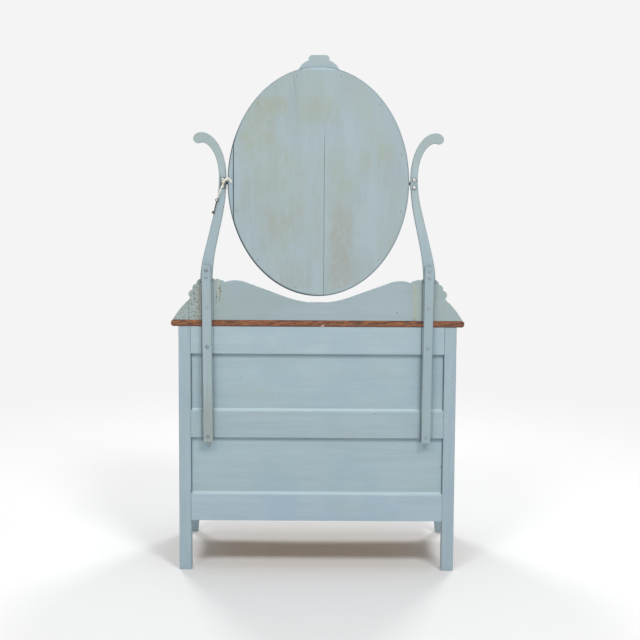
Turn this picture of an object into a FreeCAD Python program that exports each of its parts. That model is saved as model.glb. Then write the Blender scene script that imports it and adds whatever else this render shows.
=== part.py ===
import FreeCAD, Part
import math
import os
import re

V = FreeCAD.Vector
ACROSS = V(1, 0, 0)
DEEP = V(0, 1, 0)
UP = V(0, 0, 1)

# Driving dimensions in millimetres. The front with the drawers faces -Y and the floor is at zero.
SIZES = {
    # oak top
    "top_width": 1016,
    "top_depth": 508,
    "top_thick": 22.5,
    "top_round": 10,
    "case_height": 889,
    # frame and panel case
    "case_width": 964,
    "case_depth": 475,
    "post_side": 42,
    "front_foot": 24,
    "foot_clear": 178,
    "rail_width": 96,
    "rail_thick": 22,
    "middle_rail": 475,
    "panel_thick": 8,
    "panel_set": 10,
    "groove_depth": 8,
    "tenon_length": 22,
    "loose": 0.5,
    # drawer rails, runners and guides
    "front_rail": 22,
    "apron_height": 40,
    "apron_arch": 16,
    "apron_end": 90,
    "stub_length": 15,
    "stub_inset": 5,
    "low_opening": 213,
    "mid_opening": 205,
    "divider_width": 22,
    "runner_width": 45,
    "middle_runner": 66,
    "guide_height": 20,
    # drawers
    "reveal": 1.5,
    "front_thick": 20,
    "board_thick": 12,
    "bottom_thick": 6,
    "drawer_depth": 446,
    "side_lift": 0.5,
    "dado_depth": 4,
    "tail_depth": 14,
    "tail_share": 0.56,
    "tail_flare": 2.5,
    "knob_spread": 255,
    "knob_radius": 17,
    "knob_reach": 29,
    "knob_shank": 6,
    "knob_peg": 14,
    "keyhole_radius": 3.2,
    "keyhole_slot": 3,
    "keyhole_drop": 0.55,
    "lock_width": 62,
    "lock_height": 38,
    "lock_thick": 10,
    "selvage": 1.6,
    "bolt_width": 20,
    "bolt_thick": 5,
    "bolt_height": 16,
    "bolt_throw": 8,
    "bolt_play": 0.4,
    # shaped backboard on the top
    "splash_thick": 20,
    "splash_foot": 501,
    "splash_dip": 60,
    "dip_radius": 325,
    "hump_place": 286,
    "hump_height": 137,
    "hump_radius": 103,
    "leaf_notch": 322,
    "leaf_lobe": 14.5,
    "leaf_corner": 68,
    "end_bulge": 3,
    "seat_height": 131,
    "seat_play": 0.5,
    # battens and mirror arms
    "batten_width": 32,
    "batten_thick": 22,
    "batten_low": 461,
    "batten_high": 1079,
    "batten_place": 384,
    "batten_lean": 0.55,
    "arm_thick": 24,
    "arm_foot_in": 364.5,
    "arm_foot_out": 406,
    "arm_neck": 1382,
    "arm_neck_in": 316,
    "arm_neck_out": 340.5,
    "arm_rake_in": 11.9,
    "arm_rake_out": 14,
    "arm_bend_in": 677,
    "arm_bend_out": 430,
    "arm_top": 1535.5,
    "crook_place": 401,
    "crook_under": 1500,
    "scroll_reach": 27,
    "scroll_radius": 17,
    "scroll_drop": 3,
    "screw_gap": 23,
    "rail_screw_drop": 69,
    "rail_screw_rise": 8,
    # swivel fittings
    "pivot_height": 1362.5,
    "pivot_set": 12,
    "pin_radius": 2.5,
    "pin_play": 0.05,
    "pin_room": 0.7,
    "pin_reach": 14,
    "bracket_thick": 2,
    "bracket_leg": 1.6,
    "leg_margin": 2,
    "bracket_height": 40,
    "bracket_edge": 336,
    "screw_spread": 25,
    "plate_height": 44,
    "plate_width": 14,
    "plate_thick": 3,
    "boss_radius": 6.5,
    "boss_gap": 0.3,
    # oval mirror
    "oval_centre": 1366,
    "oval_across": 311,
    "oval_up": 392.3,
    "frame_thick": 26,
    "frame_edge": 15,
    "edge_round": 5,
    "edge_drop": 4,
    "bead_place": 18,
    "cove_depth": 10,
    "frame_width": 48,
    "frame_back_set": 1,
    "rabbet_width": 8,
    "rabbet_depth": 13,
    "glass_thick": 4,
    "back_board": 8,
    "board_margin": 4,
    "board_joint": -20,
    "board_straight": 289,
    "board_top": 1749.5,
    "crest_thick": 18,
    "crest_top": 1797.5,
    "crest_cap": 36,
    "crest_cap_height": 17.5,
    "crest_round": 14.5,
    "crest_nick": 2,
    "crest_bow": 57,
    "crest_bow_drop": 14,
    "crest_shoulder": 69.5,
    # screws and nails
    "shank_radius": 2.2,
    "head_radius": 5,
    "head_height": 2.5,
    "screw_bite": 16,
    "nail_radius": 2.2,
    "nail_inset": 18,
    "nail_proud": 0.6,
    # tape and key
    "tape_width": 5,
    "key_ring": 5.2,
    "key_wire": 1.1,
    "key_length": 49.6,
    "key_shank": 1.65,
    "key_tip": 1.5,
    "bit_reach": 7,
    "bit_height": 8,
    "bit_thick": 1.5,
    "key_lean": 14,
}

REAR = "((top_depth - batten_thick - head_height)/2)"
FRONT = f"({REAR} - case_depth)"
UNDER_TOP = "(case_height - top_thick)"
INNER = "(case_width/2 - post_side)"
OPENING = f"(2*{INNER})"
BACK_OF_FRAME = f"({REAR} - frame_back_set)"
PANEL_FACE = "(panel_set + panel_thick)"
LOW_FLOOR = "(foot_clear + apron_height)"
LOW_RAIL = f"({LOW_FLOOR} + low_opening)"
MID_FLOOR = f"({LOW_RAIL} + front_rail)"
MID_RAIL = f"({MID_FLOOR} + mid_opening)"
TOP_FLOOR = f"({MID_RAIL} + front_rail)"
TOP_RAIL = f"({UNDER_TOP} - front_rail)"
SMALL_OPENING = f"(({OPENING} - divider_width)/2)"
KNOB_SIDES = 16
SCREW_SIDES = 8
TAPE_SIDES = 6
TAPE_BEND = 0.45
NAIL_COUNT = 12
# Centres of the carved lobes of the right-hand leaf: across from the middle and above the top board.
LEAF_LOBES = ((335, 123), (347.5, 127), (366, 129), (385, 129), (404, 127), (418.5, 110.5), (432, 89.5))
RAIL_HEIGHTS = {"bottom": "foot_clear", "middle": "middle_rail", "top": f"({UNDER_TOP} - rail_width)"}

doc = FreeCAD.newDocument("dresser")
sizes = doc.addObject("Spreadsheet::Sheet", "Sizes")
parts = []


def fill_sheet():
    """Write every driving dimension to the sheet, one row each, with its name as the alias."""
    for row, (name, number) in enumerate(SIZES.items(), start=1):
        sizes.set(f"A{row}", name)
        sizes.set(f"B{row}", str(number))
        sizes.setAlias(f"B{row}", name)
    doc.recompute()


def linked(text):
    """Turn the plain names in an expression into references to the sheet."""
    return re.sub(r"[a-z_]+", lambda word: f"Sizes.{word[0]}" if word[0] in SIZES else word[0], str(text))


def number(text):
    """The present value of an expression on the sheet."""
    result = sizes.evalExpression(linked(text))
    return float(getattr(result, "Value", result))


def bind(item, **expressions):
    for name, text in expressions.items():
        item.setExpression(name, linked(text))
    return item


def place(item, x=0, y=0, z=0, axis=UP, angle=0):
    item.Placement = FreeCAD.Placement(V(0, 0, 0), FreeCAD.Rotation(axis, angle))
    for name, text in (("x", x), ("y", y), ("z", z)):
        item.setExpression(f"Placement.Base.{name}", linked(text))
    return item


def part(label, item):
    """Record a finished sub-part under the name that its file gets."""
    item.Label = label
    parts.append(item)
    return item


def block(size, at):
    box = bind(doc.addObject("Part::Box", "Block"), Length=size[0], Width=size[1], Height=size[2])
    return place(box, *at)


def rod(radius, length, at, axis=UP, angle=0):
    cylinder = bind(doc.addObject("Part::Cylinder", "Rod"), Radius=radius, Height=length)
    return place(cylinder, *at, axis=axis, angle=angle)


def joined(*items):
    """Pieces of one stock piece that touch or overlap, as one solid."""
    fused = doc.addObject("Part::MultiFuse", "Joined")
    fused.Shapes = list(items)
    fused.Refine = True
    return fused


def grouped(items):
    """Like pieces that share a node, each still a solid of its own."""
    group = doc.addObject("Part::Compound", "Group")
    group.Links = list(items)
    return group


def cut(base, *tools):
    for tool in tools:
        result = doc.addObject("Part::Cut", "Cut")
        result.Base = base
        result.Tool = tool
        base = result
    return base


def mirrored(item):
    """The same piece on the other side of the middle plane."""
    copy = doc.addObject("Part::Mirroring", "Mirrored")
    copy.Source = item
    copy.Normal = ACROSS
    return copy


def outline_body(edges, thickness):
    """A board sawn to an outline in the XZ plane; its rear face lies in that plane."""
    body = doc.addObject("PartDesign::Body", "Board")
    plane = next(item for item in body.Origin.OriginFeatures if item.Role == "XZ_Plane")
    sketch = body.newObject("Sketcher::SketchObject", "Outline")
    sketch.AttachmentSupport = [(plane, "")]
    sketch.MapMode = "FlatFace"
    for edge in edges:
        sketch.addGeometry(edge, False)
    pad = body.newObject("PartDesign::Pad", "Sawn")
    pad.Profile = sketch
    bind(pad, Length=thickness)
    return body


def peg(sides, radius, low, high="0"):
    """A straight round peg on Z, with many flats."""
    stock = bind(doc.addObject("Part::Prism", "Peg"), Circumradius=radius, Height=f"{high} - ({low})")
    stock.Polygon = sides
    return place(stock, z=low)


def turning(sides, *rings):
    """A turned shape on Z with many flats, through rings given as radius and height, from the lowest up."""
    circles = []
    for radius, height in rings:
        corners = [on_circle((0, 0), number(radius), 2 * math.pi * step / sides) for step in range(sides)]
        circles.append([V(x, y, number(height)) for x, y in corners])
    faces = [Part.Face(Part.makePolygon([*circle, circle[0]])) for circle in (circles[0], circles[-1])]
    for lower, upper in zip(circles, circles[1:]):
        for step in range(sides):
            following = (step + 1) % sides
            corners = [lower[step], lower[following], upper[following], upper[step], lower[step]]
            faces.append(Part.Face(Part.makePolygon(corners)))
    piece = doc.addObject("Part::Feature", "Turning")
    solid = Part.Solid(Part.makeShell(faces))
    solid.fix(0.001, 0.001, 0.001)
    piece.Shape = solid
    return piece


def flat(x, z):
    """A point of a sketch."""
    return V(x, z, 0)


def line(start, end):
    return Part.LineSegment(flat(*start), flat(*end))


def arc(start, middle, end):
    return Part.Arc(flat(*start), flat(*middle), flat(*end))


def chain(points):
    return [line(a, b) for a, b in zip(points, points[1:])]


def on_circle(centre, radius, angle):
    return (centre[0] + radius * math.cos(angle), centre[1] + radius * math.sin(angle))


# ---- the case: posts, rails and panels ----


def top_board():
    """Oak top, flush with the case at the rear, its other edges rounded over."""
    board = block(("top_width", "top_depth", "top_thick"), ("-top_width/2", f"{REAR} - top_depth", UNDER_TOP))
    doc.recompute()
    rear = number(REAR)
    radius = number("top_round")
    rounded = doc.addObject("Part::Fillet", "RoundedTop")
    rounded.Base = board
    rounded.Edges = [
        (index, radius, radius)
        for index, edge in enumerate(board.Shape.Edges, start=1)
        if abs(edge.tangentAt(0).z) < 0.5 and edge.CenterOfMass.y < rear - 1
    ]
    part("top_board", rounded)


def framing_cuts(rear):
    """Grooves for the panels and mortises for the rails, in the right-hand post at the rear or the front."""
    groove_x = f"(case_width/2 - {PANEL_FACE})"
    tall = f"({UNDER_TOP} - foot_clear)"
    spans = [("groove_depth", "foot_clear", tall)]
    spans += [("tenon_length", height, "rail_width") for height in RAIL_HEIGHTS.values()]
    tools = []
    for depth, low, high in spans:
        face = f"{REAR} - post_side" if rear else f"{FRONT} + post_side - {depth}"
        tools.append(block(("panel_thick", depth, high), (groove_x, face, low)))
        if rear:
            tools.append(block((depth, "panel_thick", high), (INNER, f"{REAR} - {PANEL_FACE}", low)))
    return tools


def stub_mortises():
    """Mortises in the inner face of a front post for the stub tenons of the drawer rails and the apron."""
    tools = [
        block(
            ("stub_length", "post_side - 4*stub_inset", "front_rail - 2*stub_inset"),
            (INNER, f"{FRONT} + 2*stub_inset", f"{height} + stub_inset"),
        )
        for height in (LOW_RAIL, MID_RAIL, TOP_RAIL)
    ]
    tools.append(
        block(
            ("stub_length", "panel_thick", "apron_height - 2*stub_inset"),
            (INNER, f"{FRONT} + stub_inset", "foot_clear + stub_inset"),
        )
    )
    return tools


def posts():
    """Straight rear posts, and front posts whose feet taper on their two inner faces."""
    rear_stock = block(("post_side", "post_side", UNDER_TOP), (INNER, f"{REAR} - post_side", 0))
    right = cut(rear_stock, *framing_cuts(rear=True))
    part("rear_post_right", right)
    part("rear_post_left", mirrored(right))

    shaft = block(("post_side", "post_side", f"{UNDER_TOP} - foot_clear"), (INNER, FRONT, "foot_clear"))
    foot = doc.addObject("Part::Wedge", "Foot")
    tapered = "post_side - front_foot"
    bind(foot, Ymin="0", Xmin=tapered, Xmax="post_side", Zmin=tapered, Zmax="post_side")
    bind(foot, Ymax="foot_clear", X2min="0", X2max="post_side", Z2min="0", Z2max="post_side")
    place(foot, INNER, f"{FRONT} + post_side", 0, axis=ACROSS, angle=90)
    right = cut(joined(shaft, foot), *framing_cuts(rear=False), *stub_mortises())
    part("front_post_right", right)
    part("front_post_left", mirrored(right))


def framed_rail(length, grooves):
    """A rail with its outer face at y = 0, a tenon at each end and a panel groove on the edges named."""
    stock = block((length, "rail_thick", "rail_width"), (f"-{length}/2", "-rail_thick", 0))
    tenon = block(
        (f"{length} + 2*tenon_length", "panel_thick", "rail_width"),
        (f"-{length}/2 - tenon_length", f"-{PANEL_FACE}", 0),
    )
    edges = {"low": "0", "high": "rail_width - groove_depth"}
    slots = [
        block(
            (f"{length} + 2*groove_depth", "panel_thick", "groove_depth"),
            (f"-{length}/2 - groove_depth", f"-{PANEL_FACE}", edges[edge]),
        )
        for edge in grooves
    ]
    return cut(joined(stock, tenon), *slots)


def framed_panel(length, low, high):
    """A thin panel with its outer face at y = 0, loose in the grooves round it."""
    reach = "(2*groove_depth - 2*loose)"
    board = block(
        (f"{length} + {reach}", "panel_thick", f"{high} - {low} + {reach}"),
        (f"-({length} + {reach})/2", "-panel_thick", f"{low} - groove_depth + loose"),
    )
    return grouped([board])


def case_framing():
    """Three rails and two recessed panels at the back and on each side."""
    grooves = {"bottom": ["high"], "middle": ["low", "high"], "top": ["low"]}
    gaps = {
        "lower": ("(foot_clear + rail_width)", "middle_rail"),
        "upper": ("(middle_rail + rail_width)", RAIL_HEIGHTS["top"]),
    }
    between_posts = "(case_depth - 2*post_side)"
    middle_y = f"{REAR} - case_depth/2"
    side_rails = []
    side_panels = []
    for name, height in RAIL_HEIGHTS.items():
        part(f"back_rail_{name}", place(framed_rail(OPENING, grooves[name]), 0, REAR, height))
        rail = framed_rail(between_posts, grooves[name])
        place(rail, "case_width/2", middle_y, height, angle=-90)
        side_rails += [rail, mirrored(rail)]
    for name, (low, high) in gaps.items():
        part(f"back_panel_{name}", place(framed_panel(OPENING, low, high), 0, f"{REAR} - panel_set"))
        panel = framed_panel(between_posts, low, high)
        place(panel, "case_width/2 - panel_set", middle_y, angle=-90)
        side_panels += [panel, mirrored(panel)]
    part("side_rails", grouped(side_rails))
    part("side_panels", grouped(side_panels))


# ---- drawer rails, divider and runners ----


def bolt_mortise(x, rail):
    """A pocket in the underside of a rail that a lock bolt shoots into."""
    width = "(bolt_width + 4*bolt_play)"
    return block(
        (width, "bolt_thick + 4*bolt_play", "bolt_throw + 2*bolt_play"),
        (f"{x} - {width}/2", f"{FRONT} + front_thick - lock_thick + selvage - 2*bolt_play", rail),
    )


def drawer_rails():
    """Three rails between the front posts, each with a stub tenon at both ends and bolt mortises."""
    rails = []
    small_x = f"(divider_width + {SMALL_OPENING})/2"
    bolts = {LOW_RAIL: ["0"], MID_RAIL: ["0"], TOP_RAIL: [small_x, f"-{small_x}"]}
    for height, places in bolts.items():
        stock = block((OPENING, "post_side", "front_rail"), (f"-{INNER}", FRONT, height))
        stub = block(
            (f"{OPENING} + 2*stub_length", "post_side - 4*stub_inset", "front_rail - 2*stub_inset"),
            (f"-{INNER} - stub_length", f"{FRONT} + 2*stub_inset", f"{height} + stub_inset"),
        )
        rails.append(cut(joined(stock, stub), *[bolt_mortise(x, height) for x in places]))
    part("front_rails", grouped(rails))
    between = f"{TOP_RAIL} - {TOP_FLOOR}"
    divider = block(("divider_width", "post_side", between), ("-divider_width/2", FRONT, TOP_FLOOR))
    part("drawer_divider", divider)


def apron():
    """Bottom rail of the front, its lower edge sawn to a shallow arch."""
    half = number(INNER)
    end = half - number("apron_end")
    tall = number("apron_height")
    rise = number("apron_arch")
    edges = [
        *chain([(-end, 0), (-half, 0), (-half, tall), (half, tall), (half, 0), (end, 0)]),
        arc((end, 0), (0, rise), (-end, 0)),
    ]
    board = place(outline_body(edges, "rail_thick"), 0, f"{FRONT} + rail_thick", "foot_clear")
    stub = block(
        (f"{OPENING} + 2*stub_length", "panel_thick", "apron_height - 2*stub_inset - apron_arch"),
        (f"-{INNER} - stub_length", f"{FRONT} + stub_inset", "foot_clear + stub_inset + apron_arch"),
    )
    part("front_apron", joined(board, stub))


def runners():
    """L-shaped runners under each drawer, rear cross rails, a T-shaped middle runner and the kickers."""
    behind = f"({FRONT} + post_side)"
    run = "(case_depth - 2*post_side)"
    side_x = "case_width/2 - rail_thick - runner_width"
    pieces = []
    for top in (LOW_FLOOR, MID_FLOOR, TOP_FLOOR):
        shelf = block(("runner_width", run, "front_rail"), (side_x, behind, f"{top} - front_rail"))
        guide = block(("post_side - rail_thick", run, "guide_height"), (INNER, behind, top))
        runner = joined(shelf, guide)
        cross = block(
            (OPENING, "post_side - rail_thick", "front_rail"),
            (f"-{INNER}", f"{REAR} - post_side", f"{top} - front_rail"),
        )
        pieces += [runner, mirrored(runner), cross]
    shelf = block(("middle_runner", run, "front_rail"), ("-middle_runner/2", behind, MID_RAIL))
    guide = block(("divider_width", run, "guide_height"), ("-divider_width/2", behind, TOP_FLOOR))
    pieces.append(joined(shelf, guide))
    kicker = block(("runner_width", run, "front_rail"), (side_x, behind, TOP_RAIL))
    pieces += [kicker, mirrored(kicker)]
    pieces.append(block(("middle_runner", run, "front_rail"), ("-middle_runner/2", behind, TOP_RAIL)))
    part("drawer_runners", grouped(pieces))


# ---- drawers ----


def dovetails(x, z, height, count):
    """Tails on the front end of a drawer side, wider towards the front."""
    pitch = f"({height}/{count})"
    low = f"((1 - tail_share)/2*{pitch})"
    high = f"((1 + tail_share)/2*{pitch})"
    tails = []
    for place_in_row in range(count):
        tail = doc.addObject("Part::Wedge", "Tail")
        bind(tail, Xmin="0", Xmax="board_thick", X2min="0", X2max="board_thick", Ymin="0", Ymax="tail_depth")
        bind(tail, Zmin=f"{low} - tail_flare", Zmax=f"{high} + tail_flare", Z2min=low, Z2max=high)
        lift = f"{z} + {place_in_row}*{pitch}"
        tails.append(place(tail, x, f"{FRONT} + front_thick - tail_depth", lift))
    return tails


def knob():
    """A turned wooden knob on Z: peg, foot, waist and mushroom head."""
    head = "knob_radius"
    reach = "knob_reach"
    mushroom = turning(
        KNOB_SIDES,
        (f"0.62*{head}", "0"),
        (f"0.62*{head}", f"0.1*{reach}"),
        (f"0.42*{head}", f"0.28*{reach}"),
        (f"0.5*{head}", f"0.48*{reach}"),
        (f"0.88*{head}", f"0.54*{reach}"),
        (head, f"0.7*{reach}"),
        (f"0.88*{head}", f"0.86*{reach}"),
        (f"0.45*{head}", reach),
    )
    return joined(peg(KNOB_SIDES, "knob_shank", "-knob_peg"), mushroom)


def drawer(name, x, floor, opening, height, knob_places, tails):
    """One drawer: dovetailed front and sides, a back in dadoes, a grooved bottom, knobs, lock and bolt."""
    wide = f"({opening} - 2*reveal)"
    tall = f"({height} - 2*reveal)"
    left = f"({x} - {wide}/2)"
    right = f"({x} + {wide}/2)"
    side_low = f"({floor} + side_lift)"
    side_tall = f"({tall} - 3*reveal)"
    side_deep = "(drawer_depth - front_thick)"
    bottom_z = f"({side_low} + board_thick - dado_depth)"
    inside = f"({wide} - 2*board_thick + 2*dado_depth)"
    inside_x = f"({left} + board_thick - dado_depth)"
    behind = f"({FRONT} + front_thick)"
    bottom = block(
        (inside, f"{side_deep} + dado_depth", "bottom_thick"), (inside_x, f"{behind} - dado_depth", bottom_z)
    )
    back = block(
        (inside, "board_thick", f"{side_tall} - board_thick - bottom_thick"),
        (inside_x, f"{FRONT} + drawer_depth - 2*board_thick", f"{bottom_z} + bottom_thick"),
    )
    sides = []
    sockets = []
    for edge in (left, f"({right} - board_thick)"):
        stock = block(("board_thick", side_deep, side_tall), (edge, behind, side_low))
        cutters = dovetails(edge, side_low, side_tall, tails)
        sockets += cutters
        sides.append(cut(joined(stock, *cutters), bottom, back))
    stock = block((wide, "front_thick", tall), (left, FRONT, f"{floor} + reveal"))
    top_edge = f"({floor} + reveal + {tall})"
    lock_y = f"({behind} - lock_thick)"
    lock_place = (f"{x} - lock_width/2", lock_y, f"{top_edge} - lock_height")
    lock_block = block(("lock_width", "lock_thick", "lock_height"), lock_place)
    key_z = f"({top_edge} - keyhole_drop*lock_height)"
    key_hole = rod("keyhole_radius", "front_thick", (x, behind, key_z), ACROSS, 90)
    slot = block(
        ("keyhole_slot", "front_thick", "3*keyhole_radius"),
        (f"{x} - keyhole_slot/2", FRONT, f"{key_z} - 3*keyhole_radius"),
    )
    knobs = []
    holes = []
    for offset in knob_places:
        centre = (f"{x} + {offset}", FRONT, f"{floor} + {height}/2")
        knobs.append(place(knob(), *centre, axis=ACROSS, angle=90))
        hole = grouped([peg(KNOB_SIDES, "knob_shank", "-knob_peg", "1")])
        holes.append(place(hole, *centre, axis=ACROSS, angle=90))
    part(f"{name}_front", cut(stock, *sockets, bottom, lock_block, joined(key_hole, slot), *holes))
    part(f"{name}_sides", grouped(sides))
    part(f"{name}_back", back)
    part(f"{name}_bottom", bottom)
    part(f"{name}_knobs", grouped(knobs) if len(knobs) > 1 else knobs[0])
    lock_parts(name, x, top_edge, lock_y, lock_place)


def lock_parts(name, x, top_edge, lock_y, lock_place):
    """A half-mortise lock: a case with a bolt channel open at the top, and the bolt that slides in it."""
    play = "bolt_play"
    bolt_y = f"({lock_y} + selvage)"
    bolt_z = f"({top_edge} - bolt_height - {play})"
    bolt = block(("bolt_width", "bolt_thick", "bolt_height"), (f"{x} - bolt_width/2", bolt_y, bolt_z))
    channel = block(
        (f"bolt_width + 2*{play}", f"bolt_thick + 2*{play}", f"bolt_height + 2*{play}"),
        (f"{x} - bolt_width/2 - {play}", f"{bolt_y} - {play}", f"{bolt_z} - {play}"),
    )
    key_z = f"({top_edge} - keyhole_drop*lock_height)"
    post_hole = rod("keyhole_radius", "lock_thick", (x, f"{FRONT} + front_thick", key_z), ACROSS, 90)
    case = block(("lock_width", "lock_thick", "lock_height"), lock_place)
    part(f"{name}_lock", cut(case, channel, post_hole))
    part(f"{name}_bolt", bolt)


def drawers():
    small_x = f"((divider_width + {SMALL_OPENING})/2)"
    small_height = f"({TOP_RAIL} - {TOP_FLOOR})"
    pair = ["-knob_spread", "knob_spread"]
    drawer("low_drawer", "0", LOW_FLOOR, OPENING, "low_opening", pair, 4)
    drawer("middle_drawer", "0", MID_FLOOR, OPENING, "mid_opening", pair, 4)
    drawer("small_drawer_left", f"-{small_x}", TOP_FLOOR, SMALL_OPENING, small_height, ["0"], 3)
    drawer("small_drawer_right", small_x, TOP_FLOOR, SMALL_OPENING, small_height, ["0"], 3)


# ---- backboard, battens and arms ----


def backsplash():
    """Shaped board along the rear of the top: a dip, humps, lobed leaves and seats for the arms."""
    top = number("case_height")
    dip = top + number("splash_dip")
    hump = (number("hump_place"), top + number("hump_height") - number("hump_radius"))
    low_arc = (0, dip + number("dip_radius"))
    # The straight run between the two arcs is tangent to both.
    gap_x = hump[0]
    gap_z = low_arc[1] - hump[1]
    reach = number("dip_radius") + number("hump_radius")
    slope = math.atan2(gap_x, gap_z) - math.acos(reach / math.hypot(gap_x, gap_z))
    dip_end = on_circle(low_arc, number("dip_radius"), slope - math.pi / 2)
    hump_start = on_circle(hump, number("hump_radius"), slope + math.pi / 2)
    hump_top = (hump[0], hump[1] + number("hump_radius"))
    lobes = [(x, top + z) for x, z in LEAF_LOBES]
    notch_x = number("leaf_notch")
    notch = (notch_x, hump[1] + math.sqrt(number("hump_radius") ** 2 - (notch_x - hump[0]) ** 2))
    corner = (lobes[-1][0] + number("leaf_lobe"), top + number("leaf_corner"))
    foot = (number("splash_foot"), top)
    bulge = [0.5 * (high + low) + number("end_bulge") for high, low in zip(corner, foot)]

    def flip(point):
        return (-point[0], point[1])

    edges = [arc(flip(dip_end), (0, dip), dip_end)]
    for side in (lambda point: point, flip):
        edges.append(line(side(dip_end), side(hump_start)))
        edges.append(arc(side(hump_start), side(hump_top), side(notch)))
        edges += chain([side(point) for point in (notch, *lobes, corner)])
        edges.append(arc(side(corner), side(bulge), side(foot)))
    edges.append(line(foot, flip(foot)))
    board = place(outline_body(edges, "splash_thick"), 0, REAR, 0)
    leaves = []
    for x, z in lobes:
        lobe = rod("leaf_lobe", "splash_thick", (x, REAR, z), ACROSS, 90)
        leaves += [lobe, mirrored(lobe)]
    seat = block(
        ("arm_foot_out - arm_foot_in + 2*seat_play", "splash_thick", "2*leaf_lobe"),
        ("arm_foot_in - seat_play", f"{REAR} - splash_thick", "case_height + seat_height"),
    )
    part("backsplash", cut(joined(board, *leaves), seat, mirrored(seat)))


def two_bends(upper, lower, upper_radius, rake):
    """An edge that is upright at two points and leans by the rake between them: an arc, a line and an arc."""
    out = lower[0] - upper[0]
    fall = upper[1] - lower[1]
    lower_radius = (fall * math.tan(rake) - out) / (1 / math.cos(rake) - 1) - upper_radius
    high_centre = (upper[0] + upper_radius, upper[1])
    low_centre = (lower[0] - lower_radius, lower[1])
    high_end = on_circle(high_centre, upper_radius, math.pi + rake)
    low_end = on_circle(low_centre, lower_radius, rake)
    return [
        arc(upper, on_circle(high_centre, upper_radius, math.pi + rake / 2), high_end),
        line(high_end, low_end),
        arc(low_end, on_circle(low_centre, lower_radius, rake / 2), lower),
    ]


def quarter(centre, long_end, short_end):
    """A quarter of an ellipse between the ends of its longer and its shorter half."""
    ellipse = Part.Ellipse(flat(*long_end), flat(*short_end), flat(*centre))
    return Part.ArcOfEllipse(ellipse, 0, math.pi / 2)


def arms():
    """S-curved mirror arms, tapering up to the swivel, with a crooked head that ends in a scroll."""
    top = number("arm_top")
    head_x = number("crook_place")
    neck = number("arm_neck")
    neck_in = (number("arm_neck_in"), neck)
    neck_out = (number("arm_neck_out"), neck)
    foot = number("case_height + seat_height")
    foot_in = (number("arm_foot_in"), foot)
    foot_out = (number("arm_foot_out"), foot)
    radius = number("scroll_radius")
    cusp = (head_x, number("crook_under"))
    tip = (head_x + number("scroll_reach"), cusp[1] - number("scroll_drop") + radius)
    scroll = (tip[0] - radius, tip[1])
    edges = [
        *two_bends(neck_in, foot_in, number("arm_bend_in"), math.radians(number("arm_rake_in"))),
        quarter((head_x, neck), (head_x, top), neck_in),
        quarter((head_x, tip[1]), tip, (head_x, top)),
        arc(tip, on_circle(scroll, radius, math.radians(-60)), cusp),
        quarter((head_x, neck), cusp, neck_out),
        *two_bends(neck_out, foot_out, number("arm_bend_out"), math.radians(number("arm_rake_out"))),
        line(foot_out, foot_in),
    ]
    right = place(outline_body(edges, "arm_thick"), 0, REAR, 0)
    part("mirror_arm_right", right)
    part("mirror_arm_left", mirrored(right))


def batten_point(height):
    """Where the middle line of the leaning right-hand batten is at a height."""
    return f"(batten_place - (batten_high - {height})*tan(batten_lean))"


def battens():
    """Straight battens screwed up the back of the case; they lean in slightly at the foot."""
    tall = "(batten_high - batten_low)"
    stock = grouped([block(("batten_width", "batten_thick", tall), ("-batten_width/2", 0, f"-{tall}"))])
    right = place(stock, "batten_place", REAR, "batten_high", axis=DEEP, angle=number("batten_lean"))
    part("batten_right", right)
    part("batten_left", mirrored(right))


def wood_screw(at, length, face):
    """A round-head screw driven forwards from a rear face."""
    dome = turning(
        SCREW_SIDES,
        ("head_radius", "0"),
        ("0.8*head_radius", "0.6*head_height"),
        ("0.3*head_radius", "head_height"),
    )
    screw = joined(peg(SCREW_SIDES, "shank_radius", f"-({length})"), dome)
    return place(screw, at[0], face, at[1], axis=ACROSS, angle=-90)


def stand_screws():
    """Screws through each batten into the rails and the arm, and through each bracket into the arm."""
    screws = []
    rear = f"({REAR} + batten_thick)"
    top_screw = "(batten_high - batten_width/2)"
    for height, bite in (
        (top_screw, "screw_bite"),
        (f"({top_screw} - screw_gap)", "screw_bite"),
        (f"({UNDER_TOP} - rail_screw_drop)", "(panel_set - 1)"),
        ("(middle_rail + rail_screw_rise)", "(panel_set - 1)"),
    ):
        screws.append(wood_screw((batten_point(height), height), f"batten_thick + {bite}", rear))
    for step in (1, -1):
        height = f"(pivot_height + {step}*screw_spread/2)"
        middle = "(arm_neck_in + arm_neck_out)/2"
        screws.append(wood_screw((middle, height), "screw_bite", f"({REAR} + bracket_thick)"))
    part("stand_screws", grouped(screws + [mirrored(screw) for screw in screws]))


# ---- swivel fittings and mirror ----


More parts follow.
